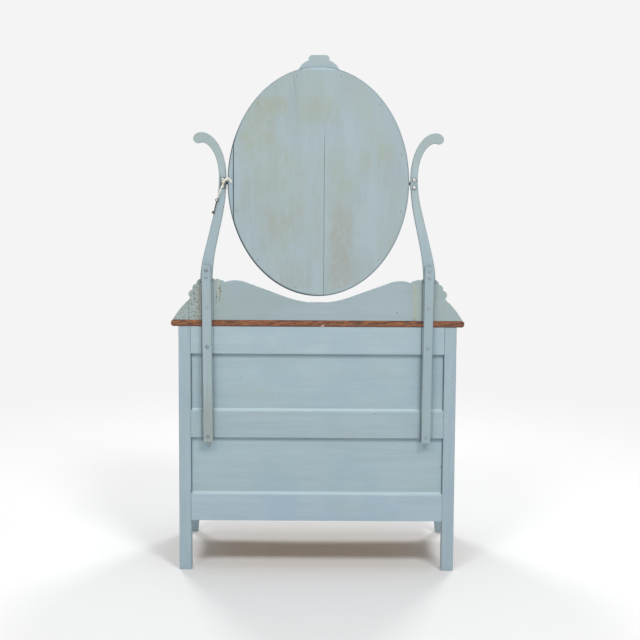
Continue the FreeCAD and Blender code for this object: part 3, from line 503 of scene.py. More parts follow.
def backboard_paint(name):
    """The same paint, greenish and pricked over the carved ends, with runs and checks down them."""
    material, place = new_material(name)
    across, deep, up = apart(place)
    edge = arrises(place)
    rear = at_rear(deep, backboard_rear, 0.003)
    strokes = noise(place, (2, 40, 40))
    hairs = noise(place, (9, 300, 300))
    cloud = noise(place, 7)
    crumbs = noise(place, 150, detail=5, roughness=0.7)
    drips = noise(place, (210, 210, 11), roughness=0.6)
    ragged = noise(place, (160, 160, 40), detail=3)
    mottle = noise(place, 170, roughness=0.7)
    ends = fade(size_of(across) + cloud * 0.05, 0.325, 0.36) * rear
    brushed = fade(strokes * 0.5 + hairs * 0.5, 0.36, 0.62)
    colour = mixed(brushed, (153, 170, 176), (160, 177, 183))
    colour = mixed(fade(cloud, 0.46, 0.66, 0.6), colour, (152, 169, 171))
    colour = mixed(ends * 0.6, colour, (156, 172, 171))
    colour = mixed(fade(drips, 0.5, 0.66, 0.6) * ends, colour, (164, 172, 160))
    tan_end = fade(across, 0.388, 0.398) * fade(across, 0.428, 0.412) * fade(up, 1.02, 0.99)
    tan_end = tan_end * rear * fade(drips, 0.3, 0.5, 0.7)
    colour = mixed(tan_end, colour, (167, 165, 153))
    colour = mixed(fade(drips, 0.6, 0.72, 0.5) * ends, colour, (130, 134, 122))
    for x, half_width, low, high, share, run in (
        (-0.3370, 0.0070, 0.875, 1.018, 0.45, (176, 184, 160)),
        (-0.3355, 0.0014, 0.875, 1.012, 0.35, (138, 146, 124)),
        (-0.3480, 0.0060, 0.880, 1.000, 0.30, (170, 180, 160)),
        (0.3420, 0.0060, 0.962, 1.030, 0.55, (176, 180, 154)),
        (0.3380, 0.0022, 0.948, 1.012, 0.75, (112, 114, 96)),
        (0.3500, 0.0018, 0.940, 0.995, 0.55, (122, 126, 110)),
        (0.4454, 0.0020, 0.880, 0.972, 0.75, (108, 112, 102)),
        (0.4270, 0.0018, 0.945, 1.010, 0.60, (114, 120, 110)),
        (0.4620, 0.0018, 0.880, 0.912, 0.70, (100, 102, 90)),
        (0.4190, 0.0016, 0.880, 0.905, 0.60, (100, 102, 90)),
    ):
        down = streak(across, up, x, half_width, low, high, ragged)
        colour = mixed(down * rear * share, colour, run)
    bare = fade(crumbs + edge * 0.07 + ends * 0.03, 0.70, 0.74)
    # Painted shade along the board's rounded arrises.
    colour = mixed(edge * 0.85, colour, (116, 127, 124))
    colour = mixed(bare, colour, (140, 136, 122))
    right_end = fade(across, 0.34, 0.41) * rear
    colour = mixed(fade(mottle, 0.50, 0.62, 0.85) * right_end, colour, (116, 122, 106))
    colour = mixed(fade(mottle, 0.46, 0.34, 0.6) * right_end, colour, (176, 184, 174))
    for x, z in (
        (0.3397, 0.9988), (0.3343, 0.9895), (0.3501, 0.9698), (0.4129, 0.9274),
        (0.4275, 0.9029), (0.4143, 0.9510), (0.4240, 0.9618), (0.4349, 0.9432),
        (0.4285, 0.9182), (0.4282, 0.9802), (0.4130, 1.0162), (0.4174, 1.0009),
        (-0.2740, 0.9175), (-0.3350, 0.8925),
    ):
        hole = spot(across, up, x, z, 0.0015, 0.0016)
        colour = mixed(hole * rear * 0.8, colour, (78, 86, 80))
    pricks = pin_pricks(place, 42, 0.0013, 0.25) * ends
    few = pin_pricks(place, 12, 0.0012, 0.15)
    colour = mixed(pricks * 0.8, colour, (92, 94, 86))
    colour = mixed(few * 0.8, colour, (112, 118, 112))
    # Painted shadow beside the battens, on the board's rear face.
    colour = mixed(shadow_beside_battens(across, deep, up) * rear, colour, DIRT_AND_SHADE)
    relief = hairs * 0.2 + strokes * 0.2 - bare * 0.6 - pricks - few
    relief = relief + crumbs * ends * 0.5 + drips * ends * 0.4
    finished(place, colour, fade(cloud, 0.3, 0.7, 0.12) + 0.66, relief, 0.0005)
    return material


stained_paint = backboard_paint("backboard_paint")
fit_eased("backsplash", stained_paint, radius=0.0026, smooth=50)

# ---- battens and mirror arms ----
# Two battens screwed up the back of the case carry the S-curved arms, which stand on the carved
# ends and finish in an outward scroll at the top.


def islands(node):
    """The lowest and highest corner of each separate solid of a CAD piece, from left to right."""
    edit(placed("loose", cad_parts[node].data.copy()))
    bpy.ops.mesh.remove_doubles(threshold=WELD)
    bpy.ops.mesh.separate(type="LOOSE")
    close_edit()
    boxes = []
    for loose in list(bpy.context.selected_objects):
        corners = list(zip(*(vertex.co for vertex in loose.data.vertices)))
        boxes.append(tuple(Vector([pick(axis) for axis in corners]) for pick in (min, max)))
        bpy.data.objects.remove(loose)
    return sorted(boxes, key=lambda box: (round(box[0].x, 4), round(box[0].z, 4)))


stand_screws = islands("stand_screws")
plug_height = 0.934


def painted_out(screw):
    """True of the left-hand screws and of the right-hand one just under the batten's top."""
    return screw.x < 0 or 1.0 < screw.z < 1.055


def round_the_screws(across, deep, up):
    """A dark ring round each screw head, faint where it is painted over, and a plug on each batten.
    """
    ring = 0
    for low, high in stand_screws:
        middle = (low + high) / 2
        share = 0.25 if painted_out(low) else 0.9
        ring = spot(across, up, middle.x, middle.z, 0.0058, 0.0016) * share + ring
    plug = (size_of(across), up, (batten_low.x + batten_high.x) / 2, plug_height)
    ring = (spot(*plug, 0.0052, 0.0016) - spot(*plug, 0.0024, 0.0012)) * 0.35 + ring
    return ring * at_rear(deep, batten_low.y, 0.003)


def batten_foot(across, deep, up):
    """The right-hand batten's lower third, gone tan and green with damp."""
    return fade(up, 0.69, 0.56, 0.6) * fade(across, 0.0, 0.01)


def shaded_side(across, deep, up):
    """Painted shade on the left-hand batten's inner side face, away from the stronger lamp."""
    inner = -batten_low.x
    return fade(across, inner - 0.0012, inner - 0.0002, 0.8) * fade(across, 0.01, 0.0)


def scroll(across, deep, up):
    """The scrolls, gone greener where hands and polish have been."""
    return fade(up, 1.38, 1.50, 0.6)


screw_rings = (round_the_screws, DIRT_AND_SHADE)
layers = ((batten_foot, (148, 157, 150)), (shaded_side, DIRT_AND_SHADE), screw_rings)
batten_paint = milk_paint("batten_paint", "Z", (158, 176, 181), 0.5, wear=0.9, layers=layers)
layers = ((scroll, (158, 171, 166)), screw_rings)
arm_paint = milk_paint("arm_paint", "Z", (163, 181, 186), 0.5, layers=layers)
for side in ("left", "right"):
    fit_eased(f"batten_{side}", batten_paint, radius=0.0022)
    arm = f"mirror_arm_{side}"
    fit_eased(arm, arm_paint, radius=0.0030, smooth=50)

# ---- screws ----
# Round-head steel screws with a sawn slot hold the battens to the rails and arms, and the brackets
# to the arms. Each was driven to a different angle, and paint and rust sit round the heads.


def turned(name, sides, *rings):
    """A shape turned on Z, through rings given as a radius and a height from the lowest up."""
    deselect()
    radius, height = rings[0]
    disc = {"vertices": sides, "radius": radius, "fill_type": "NGON"}
    bpy.ops.mesh.primitive_circle_add(location=(0, 0, height), **disc)
    piece = bpy.context.object
    piece.name = name
    edit(piece)
    for wider, higher in rings[1:]:
        rise = {"value": (0, 0, higher - height)}
        bpy.ops.mesh.extrude_region_move(TRANSFORM_OT_translate=rise)
        widen = (wider / radius, wider / radius, 1)
        bpy.ops.transform.resize(value=widen, center_override=(0, 0, higher))
        radius, height = wider, higher
    close_edit(turn_out=True)
    bpy.ops.object.transform_apply()
    smooth_below(40)
    return piece


def steel(name, bright, dull, rusty, metallic=0.95):
    """Plated steel, bright and dull in patches of tarnish, with brown rust."""
    material, place = new_material(name)
    tarnish = noise(place, 420)
    scratches = noise(place, (1500, 1500, 200), detail=2)
    colour = mixed(fade(tarnish, 0.35, 0.6), dull, bright)
    rust = fade(tarnish, 0.56, 0.7, rusty)
    colour = mixed(rust, colour, (92, 70, 54))
    roughness = fade(scratches, 0.3, 0.7, 0.2) + 0.28 + rust * 0.3
    relief = scratches * 0.4 + tarnish * 0.5
    shine = metallic - rust * (metallic * 0.7)
    finished(place, colour, roughness, relief, 0.0001, Metallic=shine)
    return material


def set_down(pattern, name, seat, quarter, *turns):
    """A copy of a turned pattern with its own mesh, laid back or forward and set at its seat."""
    piece = placed(name, pattern.data.copy())
    lay = Matrix.Translation(seat) @ Matrix.Rotation(quarter * math.pi / 2, 4, "X")
    for turn in turns:
        lay = lay @ turn
    piece.data.transform(lay)
    return piece


def joined(pieces, name):
    """Several like pieces as one object."""
    deselect()
    for piece in pieces:
        piece.select_set(True)
    bpy.context.view_layer.objects.active = pieces[0]
    if len(pieces) > 1:
        bpy.ops.object.join()
    pieces[0].name = name
    return pieces[0]


head_radius = 0.005
head_height = 0.0025
pattern = turned(
    "screw_pattern",
    24,
    (0.0021, -0.0150), (0.0021, -0.0004), (0.0047, -0.0002), (head_radius, 0.0003),
    (0.0046, 0.0012), (0.0036, 0.0019), (0.0020, 0.0024), (0.0006, head_height),
)
slot_width = 0.0011
slot_depth = 0.0026
deselect()
blade = (3 * head_radius, slot_width, slot_depth)
bpy.ops.mesh.primitive_cube_add(size=1, location=(0, 0, slot_depth), scale=blade)
saw = bpy.context.object
bpy.ops.object.transform_apply()
apply_modifier(pattern, "sawn", "BOOLEAN", object=saw, operation="DIFFERENCE")
bpy.data.objects.remove(saw)
chance = random.Random(7)
bracket_head = 1.2
lowest_bracket = 1.2
plain_screws, painted_screws, bracket_screws = [], [], []
for low, high in stand_screws:
    seat = (low + high) / 2
    seat.y = high.y - head_height
    turn = Matrix.Rotation(chance.uniform(0, math.pi), 4, "Z")
    kind, wider = painted_screws if painted_out(seat) else plain_screws, 1
    if seat.z > lowest_bracket:
        kind, wider = bracket_screws, bracket_head
    kind.append(set_down(pattern, "screw", seat, -1, turn, Matrix.Diagonal((wider, wider, 1, 1))))
bpy.data.objects.remove(pattern)
painted_steel = steel("painted_steel", (158, 170, 172), (128, 138, 140), 0.3, 0.2)
bright_steel = steel("bright_steel", (222, 224, 222), (168, 170, 168), 0.12, 0.75)
painted_over = steel("painted_over", (158, 174, 180), (146, 161, 167), 0.05, 0.1)
plain = joined(plain_screws, "batten_screws_plain")
fit(plain, painted_steel, "steel_hardware", "case", "stand_screws")
painted = joined(painted_screws, "batten_screws_painted")
fit(painted, painted_over, "steel_hardware", "case")
fit(joined(bracket_screws, "bracket_screws"), bright_steel, "steel_hardware", "case")

# ---- swivel fittings ----
# A bent steel bracket with a pin stands on each arm. It turns in a coned boss on a plate let into
# the edge of the mirror frame.

pin_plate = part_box("mirror_arm_right")[0].x


def bracket_paint(name):
    """Milk paint brushed over the steel plates, dark round the heads, edges and pin, with a painted
    shadow under the tape's knot.
    """
    material, place = new_material(name)
    across, deep, up = apart(place)
    blotches = noise(place, 260, roughness=0.6)
    colour = mixed(fade(blotches, 0.4, 0.6), (140, 156, 162), (164, 180, 186))
    colour = mixed(fade(blotches, 0.6, 0.68, 0.6), colour, (112, 112, 106))
    # Painted shadow of the tape's knot on the plate at positive X.
    knot_shadow = fade(across, 0.0, 0.01) * fade(blotches, 0.38, 0.5, 0.75)
    colour = mixed(knot_shadow, colour, (72, 80, 84))
    ring = arrises(place) * 0.8
    for low, high in stand_screws:
        middle = (low + high) / 2
        if middle.x > 0 and middle.z > lowest_bracket:
            ring = either(ring, spot(size_of(across), up, middle.x, middle.z, 0.0068, 0.0012))
    ring = either(ring, fade(size_of(across), pin_plate + 0.0006, pin_plate - 0.0014))
    colour = mixed(ring * 0.85, colour, (62, 68, 70))
    roughness = fade(blotches, 0.3, 0.7, 0.2) + 0.45
    finished(place, colour, roughness, blotches, 0.0002, Metallic=0.2)
    return material


painted_plates = bracket_paint("bracket_paint")
fit_eased("arm_brackets", painted_plates, "steel_hardware", "case", radius=0.0006)
dark_iron = steel("dark_iron", (104, 108, 106), (60, 66, 66), 0.4, 0.6)
fit_eased("swivel_plates", dark_iron, "steel_hardware", "mirror", radius=0.0004)

# ---- mirror frame ----
# An oval frame, moulded round the front with a bead and a cove down to the glass, and rebated at
# the back. It is painted like the case, with the crest glued on top.

oval_centre = 1.3660
oval_across = 0.3110
oval_up = 0.3923
frame_back = 0.24075
board_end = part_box("backboard_right")[1].x
board_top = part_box("backboard_right")[1].z


def oval_sweep(name, sides, stations):
    """A closed moulding round the oval, through stations: an inset and a depth from the back."""
    deselect()
    upright = (math.pi / 2, 0, 0)
    bpy.ops.mesh.primitive_circle_add(vertices=sides, radius=1, rotation=upright)
    piece = bpy.context.object
    piece.name = name
    inset, depth = stations[0]
    piece.scale = (oval_across - inset, oval_up - inset, 1)
    piece.location = (0, frame_back - depth, oval_centre)
    bpy.ops.object.transform_apply()
    edit(piece)
    for next_inset, next_depth in stations[1:]:
        narrower = (oval_across - next_inset) / (oval_across - inset)
        shorter = (oval_up - next_inset) / (oval_up - inset)
        step = {"value": (0, depth - next_depth, 0)}
        bpy.ops.mesh.extrude_region_move(TRANSFORM_OT_translate=step)
        middle = (0, frame_back - next_depth, oval_centre)
        bpy.ops.transform.resize(value=(narrower, 1, shorter), center_override=middle)
        inset, depth = next_inset, next_depth
    bpy.ops.mesh.select_all(action="SELECT")
    bpy.ops.mesh.remove_doubles(threshold=2 * WELD)
    close_edit(turn_out=True)
    smooth_below(35)
    return piece


def oval_reach(across, up, inset=0.0):
    """0 in the middle of the oval and 1 on its outline, or on one that lies further in."""
    wide = across * (1 / (oval_across - inset))
    tall = (up - oval_centre) * (1 / (oval_up - inset))
    return wide * wide + tall * tall


def shadow_beside_the_board(across, deep, up):
    """Painted shadow in the gap along the back board's straight end, and painted shade on the
    oval's lower rim.
    """
    gap = fade(across, board_end - 0.0005, board_end + 0.0003)
    gap = gap * fade(across, board_end + 0.0038, board_end + 0.0024)
    reach = oval_reach(across, up)
    rim = fade(reach, 0.972, 0.985) * fade(across - (up - oval_centre) * 0.6, 0.10, 0.26)
    rim = either(rim, fade(reach, 0.988, 0.994, 0.45))
    return either(gap, rim) * at_rear(deep, frame_back)


def lit_strip_over_boards(across, deep, up):
    """A painted highlight on the strip of frame between boards and crest, where shade would fall.
    """
    strip = fade(up, board_top - 0.001, board_top + 0.001, 0.4)
    return strip * fade(size_of(across), 0.080, 0.074) * at_rear(deep, frame_back)


frame_stations = [
    (0.0, 0.0006), (0.0, 0.0130), (0.0006, 0.0165), (0.0022, 0.0198), (0.0048, 0.0224),
    (0.0088, 0.0246), (0.0130, 0.0257), (0.0180, 0.0260), (0.0215, 0.0255), (0.0235, 0.0240),
    (0.0244, 0.0222), (0.0262, 0.0210), (0.0300, 0.0190), (0.0345, 0.0175), (0.0400, 0.0165),
    (0.0440, 0.0162), (0.0468, 0.0165), (0.0478, 0.0155), (0.0480, 0.0140), (0.0480, 0.0130),
    (0.0400, 0.0130), (0.0400, 0.0), (0.0006, 0.0), (0.0, 0.0006),
]
# The frame carries a painted highlight over the boards and painted shadow beside them.
layers = ((lit_strip_over_boards, PAINTED_HIGHLIGHT), (shadow_beside_the_board, DIRT_AND_SHADE))
frame_paint = milk_paint("frame_paint", "Z", (163, 181, 189), 0.4, 0.9, 0.04, layers)
ring = oval_sweep("oval_frame", 224, frame_stations)
fit(ring, frame_paint, "blue_paint", "mirror", "mirror_frame")
crest_paint = milk_paint("crest_paint", "X", (163, 180, 186), 0.4, 0.9)
fit_eased("mirror_crest", crest_paint, "blue_paint", "mirror", radius=0.0006, smooth=50)

# ---- mirror glass ----
# Plate glass, silvered on its back, with a ground bevel round its edge. The silver has gone spotty
# towards the rim.

glass_inset = 0.0410


def silvering(name):
    """Silver under glass, a little clouded, with dark spots where it is lost towards the rim."""
    material, place = new_material(name)
    spots = noise(place, 70, detail=6, roughness=0.7)
    cloud = noise(place, 9, detail=3)
    across, deep, up = apart(place)
    rim = fade(oval_reach(across, up, glass_inset), 0.78, 1.02)
    lost = fade(spots + rim * 0.10, 0.69, 0.75)
    colour = mixed(fade(cloud, 0.4, 0.7, 0.4), (226, 230, 230), (208, 213, 212))
    colour = mixed(lost, colour, (70, 64, 56))
    finished(place, colour, lost * 0.5 + 0.03, Metallic=1.0 - lost * 0.8)
    return material


glass_stations = [
    (glass_inset, 0.0128), (glass_inset, 0.0112),
    (0.0530, 0.0092), (0.0600, 0.0090),
]
plate = oval_sweep("bevelled_plate", 192, glass_stations)
edit(plate)
bpy.ops.mesh.select_all(action="DESELECT")
bpy.ops.mesh.select_non_manifold(extend=False)
bpy.ops.mesh.edge_face_add()
close_edit(turn_out=True)
smooth_below(4)
fit(plate, silvering("silvering"), "mirror_glass", "mirror", "mirror_glass")

# ---- mirror back ----
# Two thin boards are nailed over the back of the frame, cut to its oval. Damp and old varnish have
# stained the paint in soft patches, and the wider board has a hair split near its top.

joint_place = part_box("backboard_right")[0].x
split_place = 0.072
split_foot = 1.600
split_top = 1.731


def smudge(across, up, x, z, half_width, half_height, ragged):
    """A brushed patch of stain, squarish: 1 in its middle, its outline broken by a noise."""
    wide = (across - x) * (1 / half_width)
    tall = (up - z) * (1 / half_height)
    wide, tall = wide * wide, tall * tall
    return fade(wide * wide + tall * tall + ragged * 4.0, 3.2, 1.5)


def stained_boards(name):
    """The coat on the oval back: brushed up the boards, stained in patches, with painted shade at
    the rim.
    """
    material, place = new_material(name)
    across, deep, up = apart(place)
    edge = arrises(place)
    hairs = noise(place, (330, 330, 9))
    strokes = noise(place, (26, 26, 3.2))
    cloud = noise(place, (9, 9, 5))
    ragged = noise(place, (60, 60, 24), detail=5, roughness=0.65)
    wisps = noise(place, (60, 60, 14), detail=5, roughness=0.65)
    brushed = fade(strokes * 0.5 + hairs * 0.5, 0.38, 0.62)
    lower = mixed(brushed, (156, 173, 178), (163, 180, 185))
    upper = mixed(brushed, (152, 168, 170), (159, 175, 177))
    colour = mixed(fade(up, 1.48, 1.62) * fade(across, -0.08, 0.02), lower, upper)
    colour = mixed(fade(cloud, 0.44, 0.62, 0.7), colour, (158, 172, 172))
    wispy = fade(wisps * 0.6 + cloud * 0.4, 0.52, 0.64, 0.6)
    colour = mixed(wispy, colour, (160, 172, 165))
    tan = (157, 160, 152)
    green = (157, 165, 148)
    mauve = (157, 167, 173)
    pale = (172, 190, 195)
    for stain, share, x, z, half_width, half_height in (
        (tan, 0.95, -0.075, 1.150, 0.046, 0.155),
        (tan, 0.5, -0.080, 1.185, 0.034, 0.080),
        (tan, 0.55, -0.090, 1.060, 0.055, 0.060),
        (pale, 0.5, -0.152, 1.190, 0.034, 0.110),
        (green, 0.8, 0.160, 1.628, 0.060, 0.036),
        (tan, 0.6, 0.146, 1.630, 0.036, 0.018),
        (green, 0.75, 0.205, 1.560, 0.062, 0.090),
        (green, 0.5, 0.250, 1.480, 0.030, 0.060),
        (green, 0.75, 0.000, 1.612, 0.080, 0.050),
        (mauve, 0.5, -0.045, 1.550, 0.050, 0.060),
        (green, 0.7, -0.230, 1.462, 0.034, 0.045),
        (green, 0.6, -0.160, 1.442, 0.022, 0.050),
        (green, 0.45, -0.090, 1.352, 0.030, 0.030),
        (mauve, 0.7, -0.258, 1.400, 0.040, 0.070),
        (mauve, 0.6, -0.110, 1.700, 0.060, 0.045),
        (green, 0.5, 0.170, 1.420, 0.070, 0.120),
        (green, 0.4, 0.080, 1.340, 0.050, 0.160),
        (tan, 0.5, 0.246, 1.330, 0.018, 0.080),
        (tan, 0.6, 0.157, 1.226, 0.016, 0.036),
        (green, 0.40, 0.150, 1.180, 0.060, 0.090),
        (tan, 0.25, 0.120, 1.225, 0.100, 0.090),
        (tan, 0.4, 0.100, 1.060, 0.090, 0.050),
        (tan, 0.45, 0.075, 1.022, 0.060, 0.026),
        (mauve, 0.5, -0.080, 1.060, 0.060, 0.040),
        (mauve, 0.5, -0.150, 1.110, 0.045, 0.050),
        (tan, 0.35, 0.000, 1.200, 0.020, 0.140),
    ):
        patch = smudge(across, up, x, z, half_width, half_height, ragged)
        colour = mixed(patch * (0.75 * share), colour, stain)
    rubbed = fade(noise(place, 150, roughness=0.65) + edge * 0.06, 0.71, 0.74)
    at_joint = fade(size_of(across - joint_place), 0.004, 0.003)
    closed = at_joint * fade(up, 1.48, 1.56)
    open_joint = at_joint * fade(up, 1.54, 1.46)
    # The arrises get painted shade, and along the closed upper joint a painted highlight instead.
    colour = mixed(edge * (0.55 - closed * 0.5), colour, (118, 132, 136))
    colour = mixed(edge * closed, colour, (172, 187, 190))
    colour = mixed(edge * open_joint * 0.6, colour, (98, 110, 112))
    # A painted highlight on the boards' top arris.
    lit_top_arris = edge * fade(up, board_top - 0.004, board_top - 0.001)
    colour = mixed(lit_top_arris, colour, (198, 212, 216))
    colour = mixed(rubbed, colour, (148, 146, 134))
    # Painted shade round the rim of the oval, strongest on its lower side.
    reach = oval_reach(across, up)
    low_side = fade(across - (up - oval_centre) * 0.5, 0.14, 0.27)
    rim = fade(reach, 0.956, 0.968) * low_side * 0.85
    colour = mixed(either(rim, fade(reach, 0.978, 0.986, 0.7)), colour, (88, 104, 112))
    split = size_of(across - split_place - (up - split_foot) * 0.12 + ragged * 0.003)
    split = fade(split, 0.0010, 0.0004) * fade(up, split_foot, split_top - 0.02)
    split = split * fade(up, split_top + 0.002, split_top)
    colour = mixed(split * 0.42, colour, (108, 120, 120))
    pricks = pin_pricks(place, 11, 0.0012, 0.08)
    colour = mixed(pricks * 0.7, colour, (112, 116, 108))
    relief = hairs * 0.4 + strokes * 0.3 - rubbed * 0.5 - pricks - split * 2
    finished(place, colour, fade(cloud, 0.3, 0.7, 0.15) + 0.6, relief, 0.0003)
    return material


board_paint = stained_boards("board_paint")
for side in ("left", "right"):
    board = f"backboard_{side}"
    fit_eased(board, board_paint, "blue_paint", "mirror", radius=0.0009, smooth=40)
nail_height = 0.0006
nail_pattern = turned(
    "nail_pattern",
    14,
    (0.0016, -0.0120), (0.0016, -0.0002), (0.0022, 0.0), (0.0022, 0.0004),
    (0.0017, nail_height),
)
nails = []
for low, high in islands("backboard_nails"):
    seat = (low + high) / 2
    seat.y = high.y - nail_height
    nails.append(set_down(nail_pattern, "nail", seat, -1))
bpy.data.objects.remove(nail_pattern)
nail_steel = steel("nail_steel", (140, 148, 146), (104, 112, 110), 0.5, 0.3)
fit(joined(nails, "wire_nails"), nail_steel, "steel_hardware", "mirror", "backboard_nails")

# ---- drawers ----
# Four drawers, two small over two wide: painted fronts lapped over dovetailed sides, with the
# sides, back and bottom left bare. Each has turned knobs and a brass lock whose bolt rises.


def turned_wood(name):
    """Varnished hardwood turned across the drawer: fine dark grain, shiny where fingers rub."""
    material, place = new_material(name)
    grain = noise(place, (12, 160, 160))
    colour = mixed(fade(grain, 0.35, 0.65), (92, 50, 32), (150, 92, 60))
    roughness = fade(noise(place, 60, detail=3), 0.3, 0.7, 0.2) + 0.25
    finished(place, colour, roughness, grain * 0.4, 0.0002, Coat_Weight=0.3)
    return material


front_paint = milk_paint("front_paint", "X", (169, 188, 195), stains=0.25, wear=1.2)
brass = steel("brass", (190, 154, 88), (146, 112, 60), 0.25)
knob_finish = turned_wood("knob_finish")
knob_height = 0.0290
knob_pattern = turned(
    "knob_pattern",
    48,
    (0.0058, -0.0130), (0.0058, -0.0002), (0.0100, 0.0), (0.0105, 0.0006), (0.0105, 0.0022),
    (0.0098, 0.0032), (0.0082, 0.0052), (0.0072, 0.0078), (0.0074, 0.0104), (0.0088, 0.0128),
    (0.0118, 0.0146), (0.0148, 0.0162), (0.0166, 0.0184), (0.0170, 0.0206), (0.0164, 0.0230),
    (0.0146, 0.0254), (0.0124, 0.0270), (0.0112, 0.0271), (0.0108, 0.0276), (0.0076, 0.0286),
    (0.0036, 0.0289), (0.0010, knob_height),
)
for drawer in ("low_drawer", "middle_drawer", "small_drawer_left", "small_drawer_right"):
    fit_eased(f"{drawer}_front", front_paint, "blue_paint", drawer)
    dress(deep_wood, f"{drawer}_sides", f"{drawer}_bottom")
    dress(across_wood, f"{drawer}_back")
    fit_eased(f"{drawer}_lock", brass, "brass_lock", drawer, radius=0.0004)
    dress(brass, f"{drawer}_bolt")
    knobs = []
    for low, high in islands(f"{drawer}_knobs"):
        seat = (low + high) / 2
        seat.y = low.y + knob_height
        knobs.append(set_down(knob_pattern, "knob", seat, 1))
    knobs = joined(knobs, f"{drawer}_turned_knobs")
    fit(knobs, knob_finish, "knob_wood", drawer, f"{drawer}_knobs")
bpy.data.objects.remove(knob_pattern)

# ---- key and tape ----
# The drawers' iron key hangs from the right-hand bracket on a short cotton tape, knotted round the
# bracket screw with its end left loose.


def iron(name):
    """Old iron, brown with rust in its hollows."""
    material, place = new_material(name)
    rust = noise(place, 500)
    colour = mixed(fade(rust, 0.4, 0.65), (58, 54, 50), (104, 78, 60))
    shine = 0.9 - fade(rust, 0.4, 0.7, 0.5)
    finished(place, colour, fade(rust, 0.3, 0.7, 0.3) + 0.4, rust, 0.0002, Metallic=shine)
    return material


def cotton(name):
    """Unbleached cotton tape: a fine over-and-under weave, a little soiled."""
    material, place = new_material(name)
    threads = {"Vector": place, "Scale": 260}
    weft = place.node("ShaderNodeTexWave", {"bands_direction": "Z"}, threads)
    warp = place.node("ShaderNodeTexWave", {"bands_direction": "X"}, threads)
    weave = weft * 0.5 + warp * 0.5
    soil = noise(place, 120, detail=3)
    colour = mixed(fade(soil, 0.4, 0.7), (246, 242, 232), (222, 213, 193))
    colour = mixed(fade(weave, 0.6, 0.2, 0.35), colour, (170, 160, 138))
    finished(place, colour, 0.9, weave, 0.0003)
    return material


def ribbon(name, route, half_width, half_thickness):
    """A flat tape along a route, with rounded edges and closed ends."""
    line = bpy.data.curves.new(name, "CURVE")
    line.dimensions = "3D"
    line.twist_mode = "Z_UP"
    line.extrude = half_width
    line.bevel_depth = half_thickness
    line.bevel_resolution = 2
    line.use_fill_caps = True
    run = line.splines.new("NURBS")
    run.points.add(len(route) - 1)
    for point, where in zip(run.points, route):
        point.co = (*where, 1.0)
    run.order_u = 3
    run.use_endpoint_u = True
    run.resolution_u = 12
    return placed(name, line)


def wrap(where, lean, major, minor):
    """One turn of the tape pulled tight round itself, flattened where it lies on the bracket."""
    deselect()
    rings = {"major_segments": 28, "minor_segments": 10}
    bpy.ops.mesh.primitive_torus_add(major_radius=major, minor_radius=minor, **rings)
    turn = bpy.context.object
    edit(turn)
    bpy.ops.transform.resize(value=(1.0, 0.78, 1.35))
    close_edit()
    turn.rotation_euler = (0.1, lean, 0)
    turn.location = where
    bpy.ops.object.transform_apply()
    bpy.ops.object.shade_smooth()
    return turn


fit_eased("key", iron("iron"), "iron_key", "case", radius=0.0003)
tape_route = [
    (0.3210, 0.24375, 1.3710), (0.3215, 0.25325, 1.3685), (0.3250, 0.25625, 1.3585),
    (0.3315, 0.25525, 1.3460), (0.3380, 0.25275, 1.3310), (0.3435, 0.24975, 1.3170),
    (0.3460, 0.24725, 1.3095),
]
tail_route = [
    (0.3230, 0.2560, 1.3690), (0.3165, 0.2585, 1.3765), (0.3085, 0.2590, 1.3800),
    (0.3030, 0.2592, 1.3760), (0.2960, 0.2595, 1.3655),
]
tape = ribbon("tape", tape_route, 0.0022, 0.0003)
cotton_weave = cotton("cotton_weave")
fit(tape, cotton_weave, "cotton_tape", "case", "key_tape")
turns = [
    wrap((0.3195, 0.2528, 1.3715), -0.95, 0.0036, 0.0016),
    wrap((0.3235, 0.2532, 1.3675), -0.60, 0.0040, 0.0018),
    wrap((0.3262, 0.2530, 1.3635), -0.75, 0.0034, 0.0016),
]
knot = joined(turns, "tape_knot")
fit(knot, cotton_weave, "cotton_tape", "case")
tail_curve = ribbon("tail_curve", tail_route, 0.0026, 0.0004)
tail = placed("tape_tail", bpy.data.meshes.new_from_object(tail_curve))
bpy.data.objects.remove(tail_curve)
fit(tail, cotton_weave, "cotton_tape", "case")

# ---- studio ----
# A pale floor that fades into a plain background, soft lamps on both sides and overhead, and the
# camera behind the dresser, looking slightly down at its back.

rear_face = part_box("rear_post_right")[1].y
camera_away = 4.600
camera_height = 1.546
camera_side = -0.0040
pitch_down = math.radians(5.976)
turn_aside = math.radians(0.040)
roll = math.radians(0.321)
focal_pixels = 1342
rise_pixels = -50
picture_side = 640
camera_data = bpy.data.cameras.new("camera")
camera = placed("camera", camera_data)
camera_data.sensor_width = 36
camera_data.lens = focal_pixels * camera_data.sensor_width / picture_side
camera_data.shift_y = rise_pixels / picture_side
camera.matrix_world = (
    Matrix.Translation((camera_side, rear_face + camera_away, camera_height))
    @ Matrix.Rotation(math.pi - turn_aside, 4, "Z")
    @ Matrix.Rotation(math.pi / 2 - pitch_down, 4, "X")
    @ Matrix.Rotation(roll, 4, "Z")
)
bpy.context.scene.camera = camera


def show(tree, surface, end):
    """Link a finished surface to the end node of a material or of the world."""
    tree.links.new(surface.socket, tree.nodes[end].inputs["Surface"])


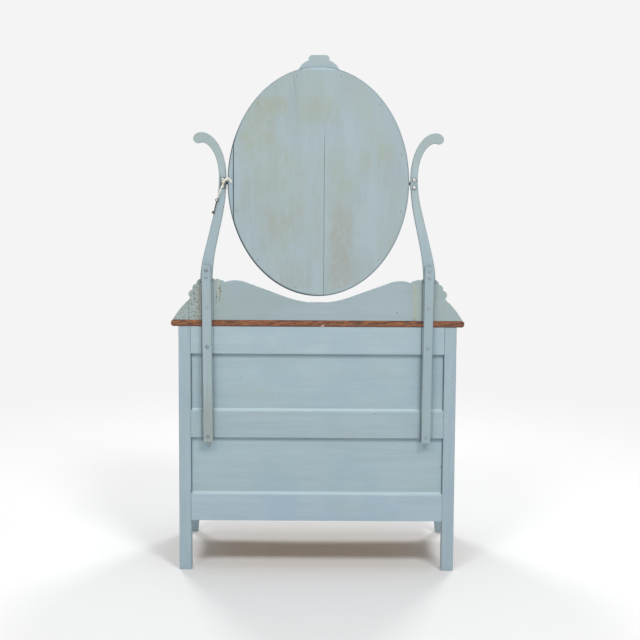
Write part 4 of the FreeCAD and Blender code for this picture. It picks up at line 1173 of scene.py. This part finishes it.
backdrop = shade(244, 244, 244)
deselect()
bpy.ops.mesh.primitive_plane_add(size=60, location=(0, 0, 0))
floor = bpy.context.object
floor.name = "floor"
floor_material, spread = new_material("pale_floor")
finished(spread, shade(230, 230, 230), 0.8)
away = spread.node("ShaderNodeVectorMath", {"operation": "LENGTH"}, {0: spread}, output="Value")
near = Wire(spread.tree, spread.tree.nodes["Principled BSDF"].outputs[0])
far = spread.node("ShaderNodeEmission", {}, {"Color": backdrop, "Strength": 1.0})
blend = spread.node("ShaderNodeMixShader", {}, {0: fade(away, 1.2, 3.4), 1: near, 2: far})
show(spread.tree, blend, "Material Output")
floor.data.materials.append(floor_material)

world = bpy.data.worlds.new("studio")
bpy.context.scene.world = world
world.use_nodes = True
sky = world.node_tree
feed(sky, sky.nodes["Background"], {"Color": (1, 1, 1, 1), "Strength": 0.40})
ambient = Wire(sky, sky.nodes["Background"].outputs[0])
rays = [f"Is {kind} Ray" for kind in ("Camera", "Glossy", "Transmission")]
camera_ray, glossy, through = (ambient.node("ShaderNodeLightPath", output=ray) for ray in rays)
plain_sky = ambient.node("ShaderNodeBackground", {}, {"Color": backdrop})
seen = either(either(camera_ray, glossy), through)
choice = ambient.node("ShaderNodeMixShader", {}, {0: seen, 1: ambient, 2: plain_sky})
show(sky, choice, "World Output")

lamps_aim = Vector((0, 0, 0.9))
for name, where, width, power in (
    ("left_rear_lamp", (2.5, 5.0, 6.4), 1.6, 128),
    ("right_rear_lamp", (-2.5, 5.0, 6.4), 1.6, 228),
    ("left_front_lamp", (2.5, -5.0, 6.4), 1.6, 178),
    ("right_front_lamp", (-2.5, -5.0, 6.4), 1.6, 178),
    ("overhead_lamp", (0, 0, 6.0), 3.0, 50),
):
    lamp = bpy.data.lights.new(name, "AREA")
    lamp.shape = "SQUARE"
    lamp.size = width
    lamp.energy = power
    lamp_object = placed(name, lamp)
    lamp_object.location = where
    aim = lamps_aim - Vector(where)
    lamp_object.rotation_euler = aim.to_track_quat("-Z", "Y").to_euler()

bpy.context.scene.view_settings.view_transform = "Standard"
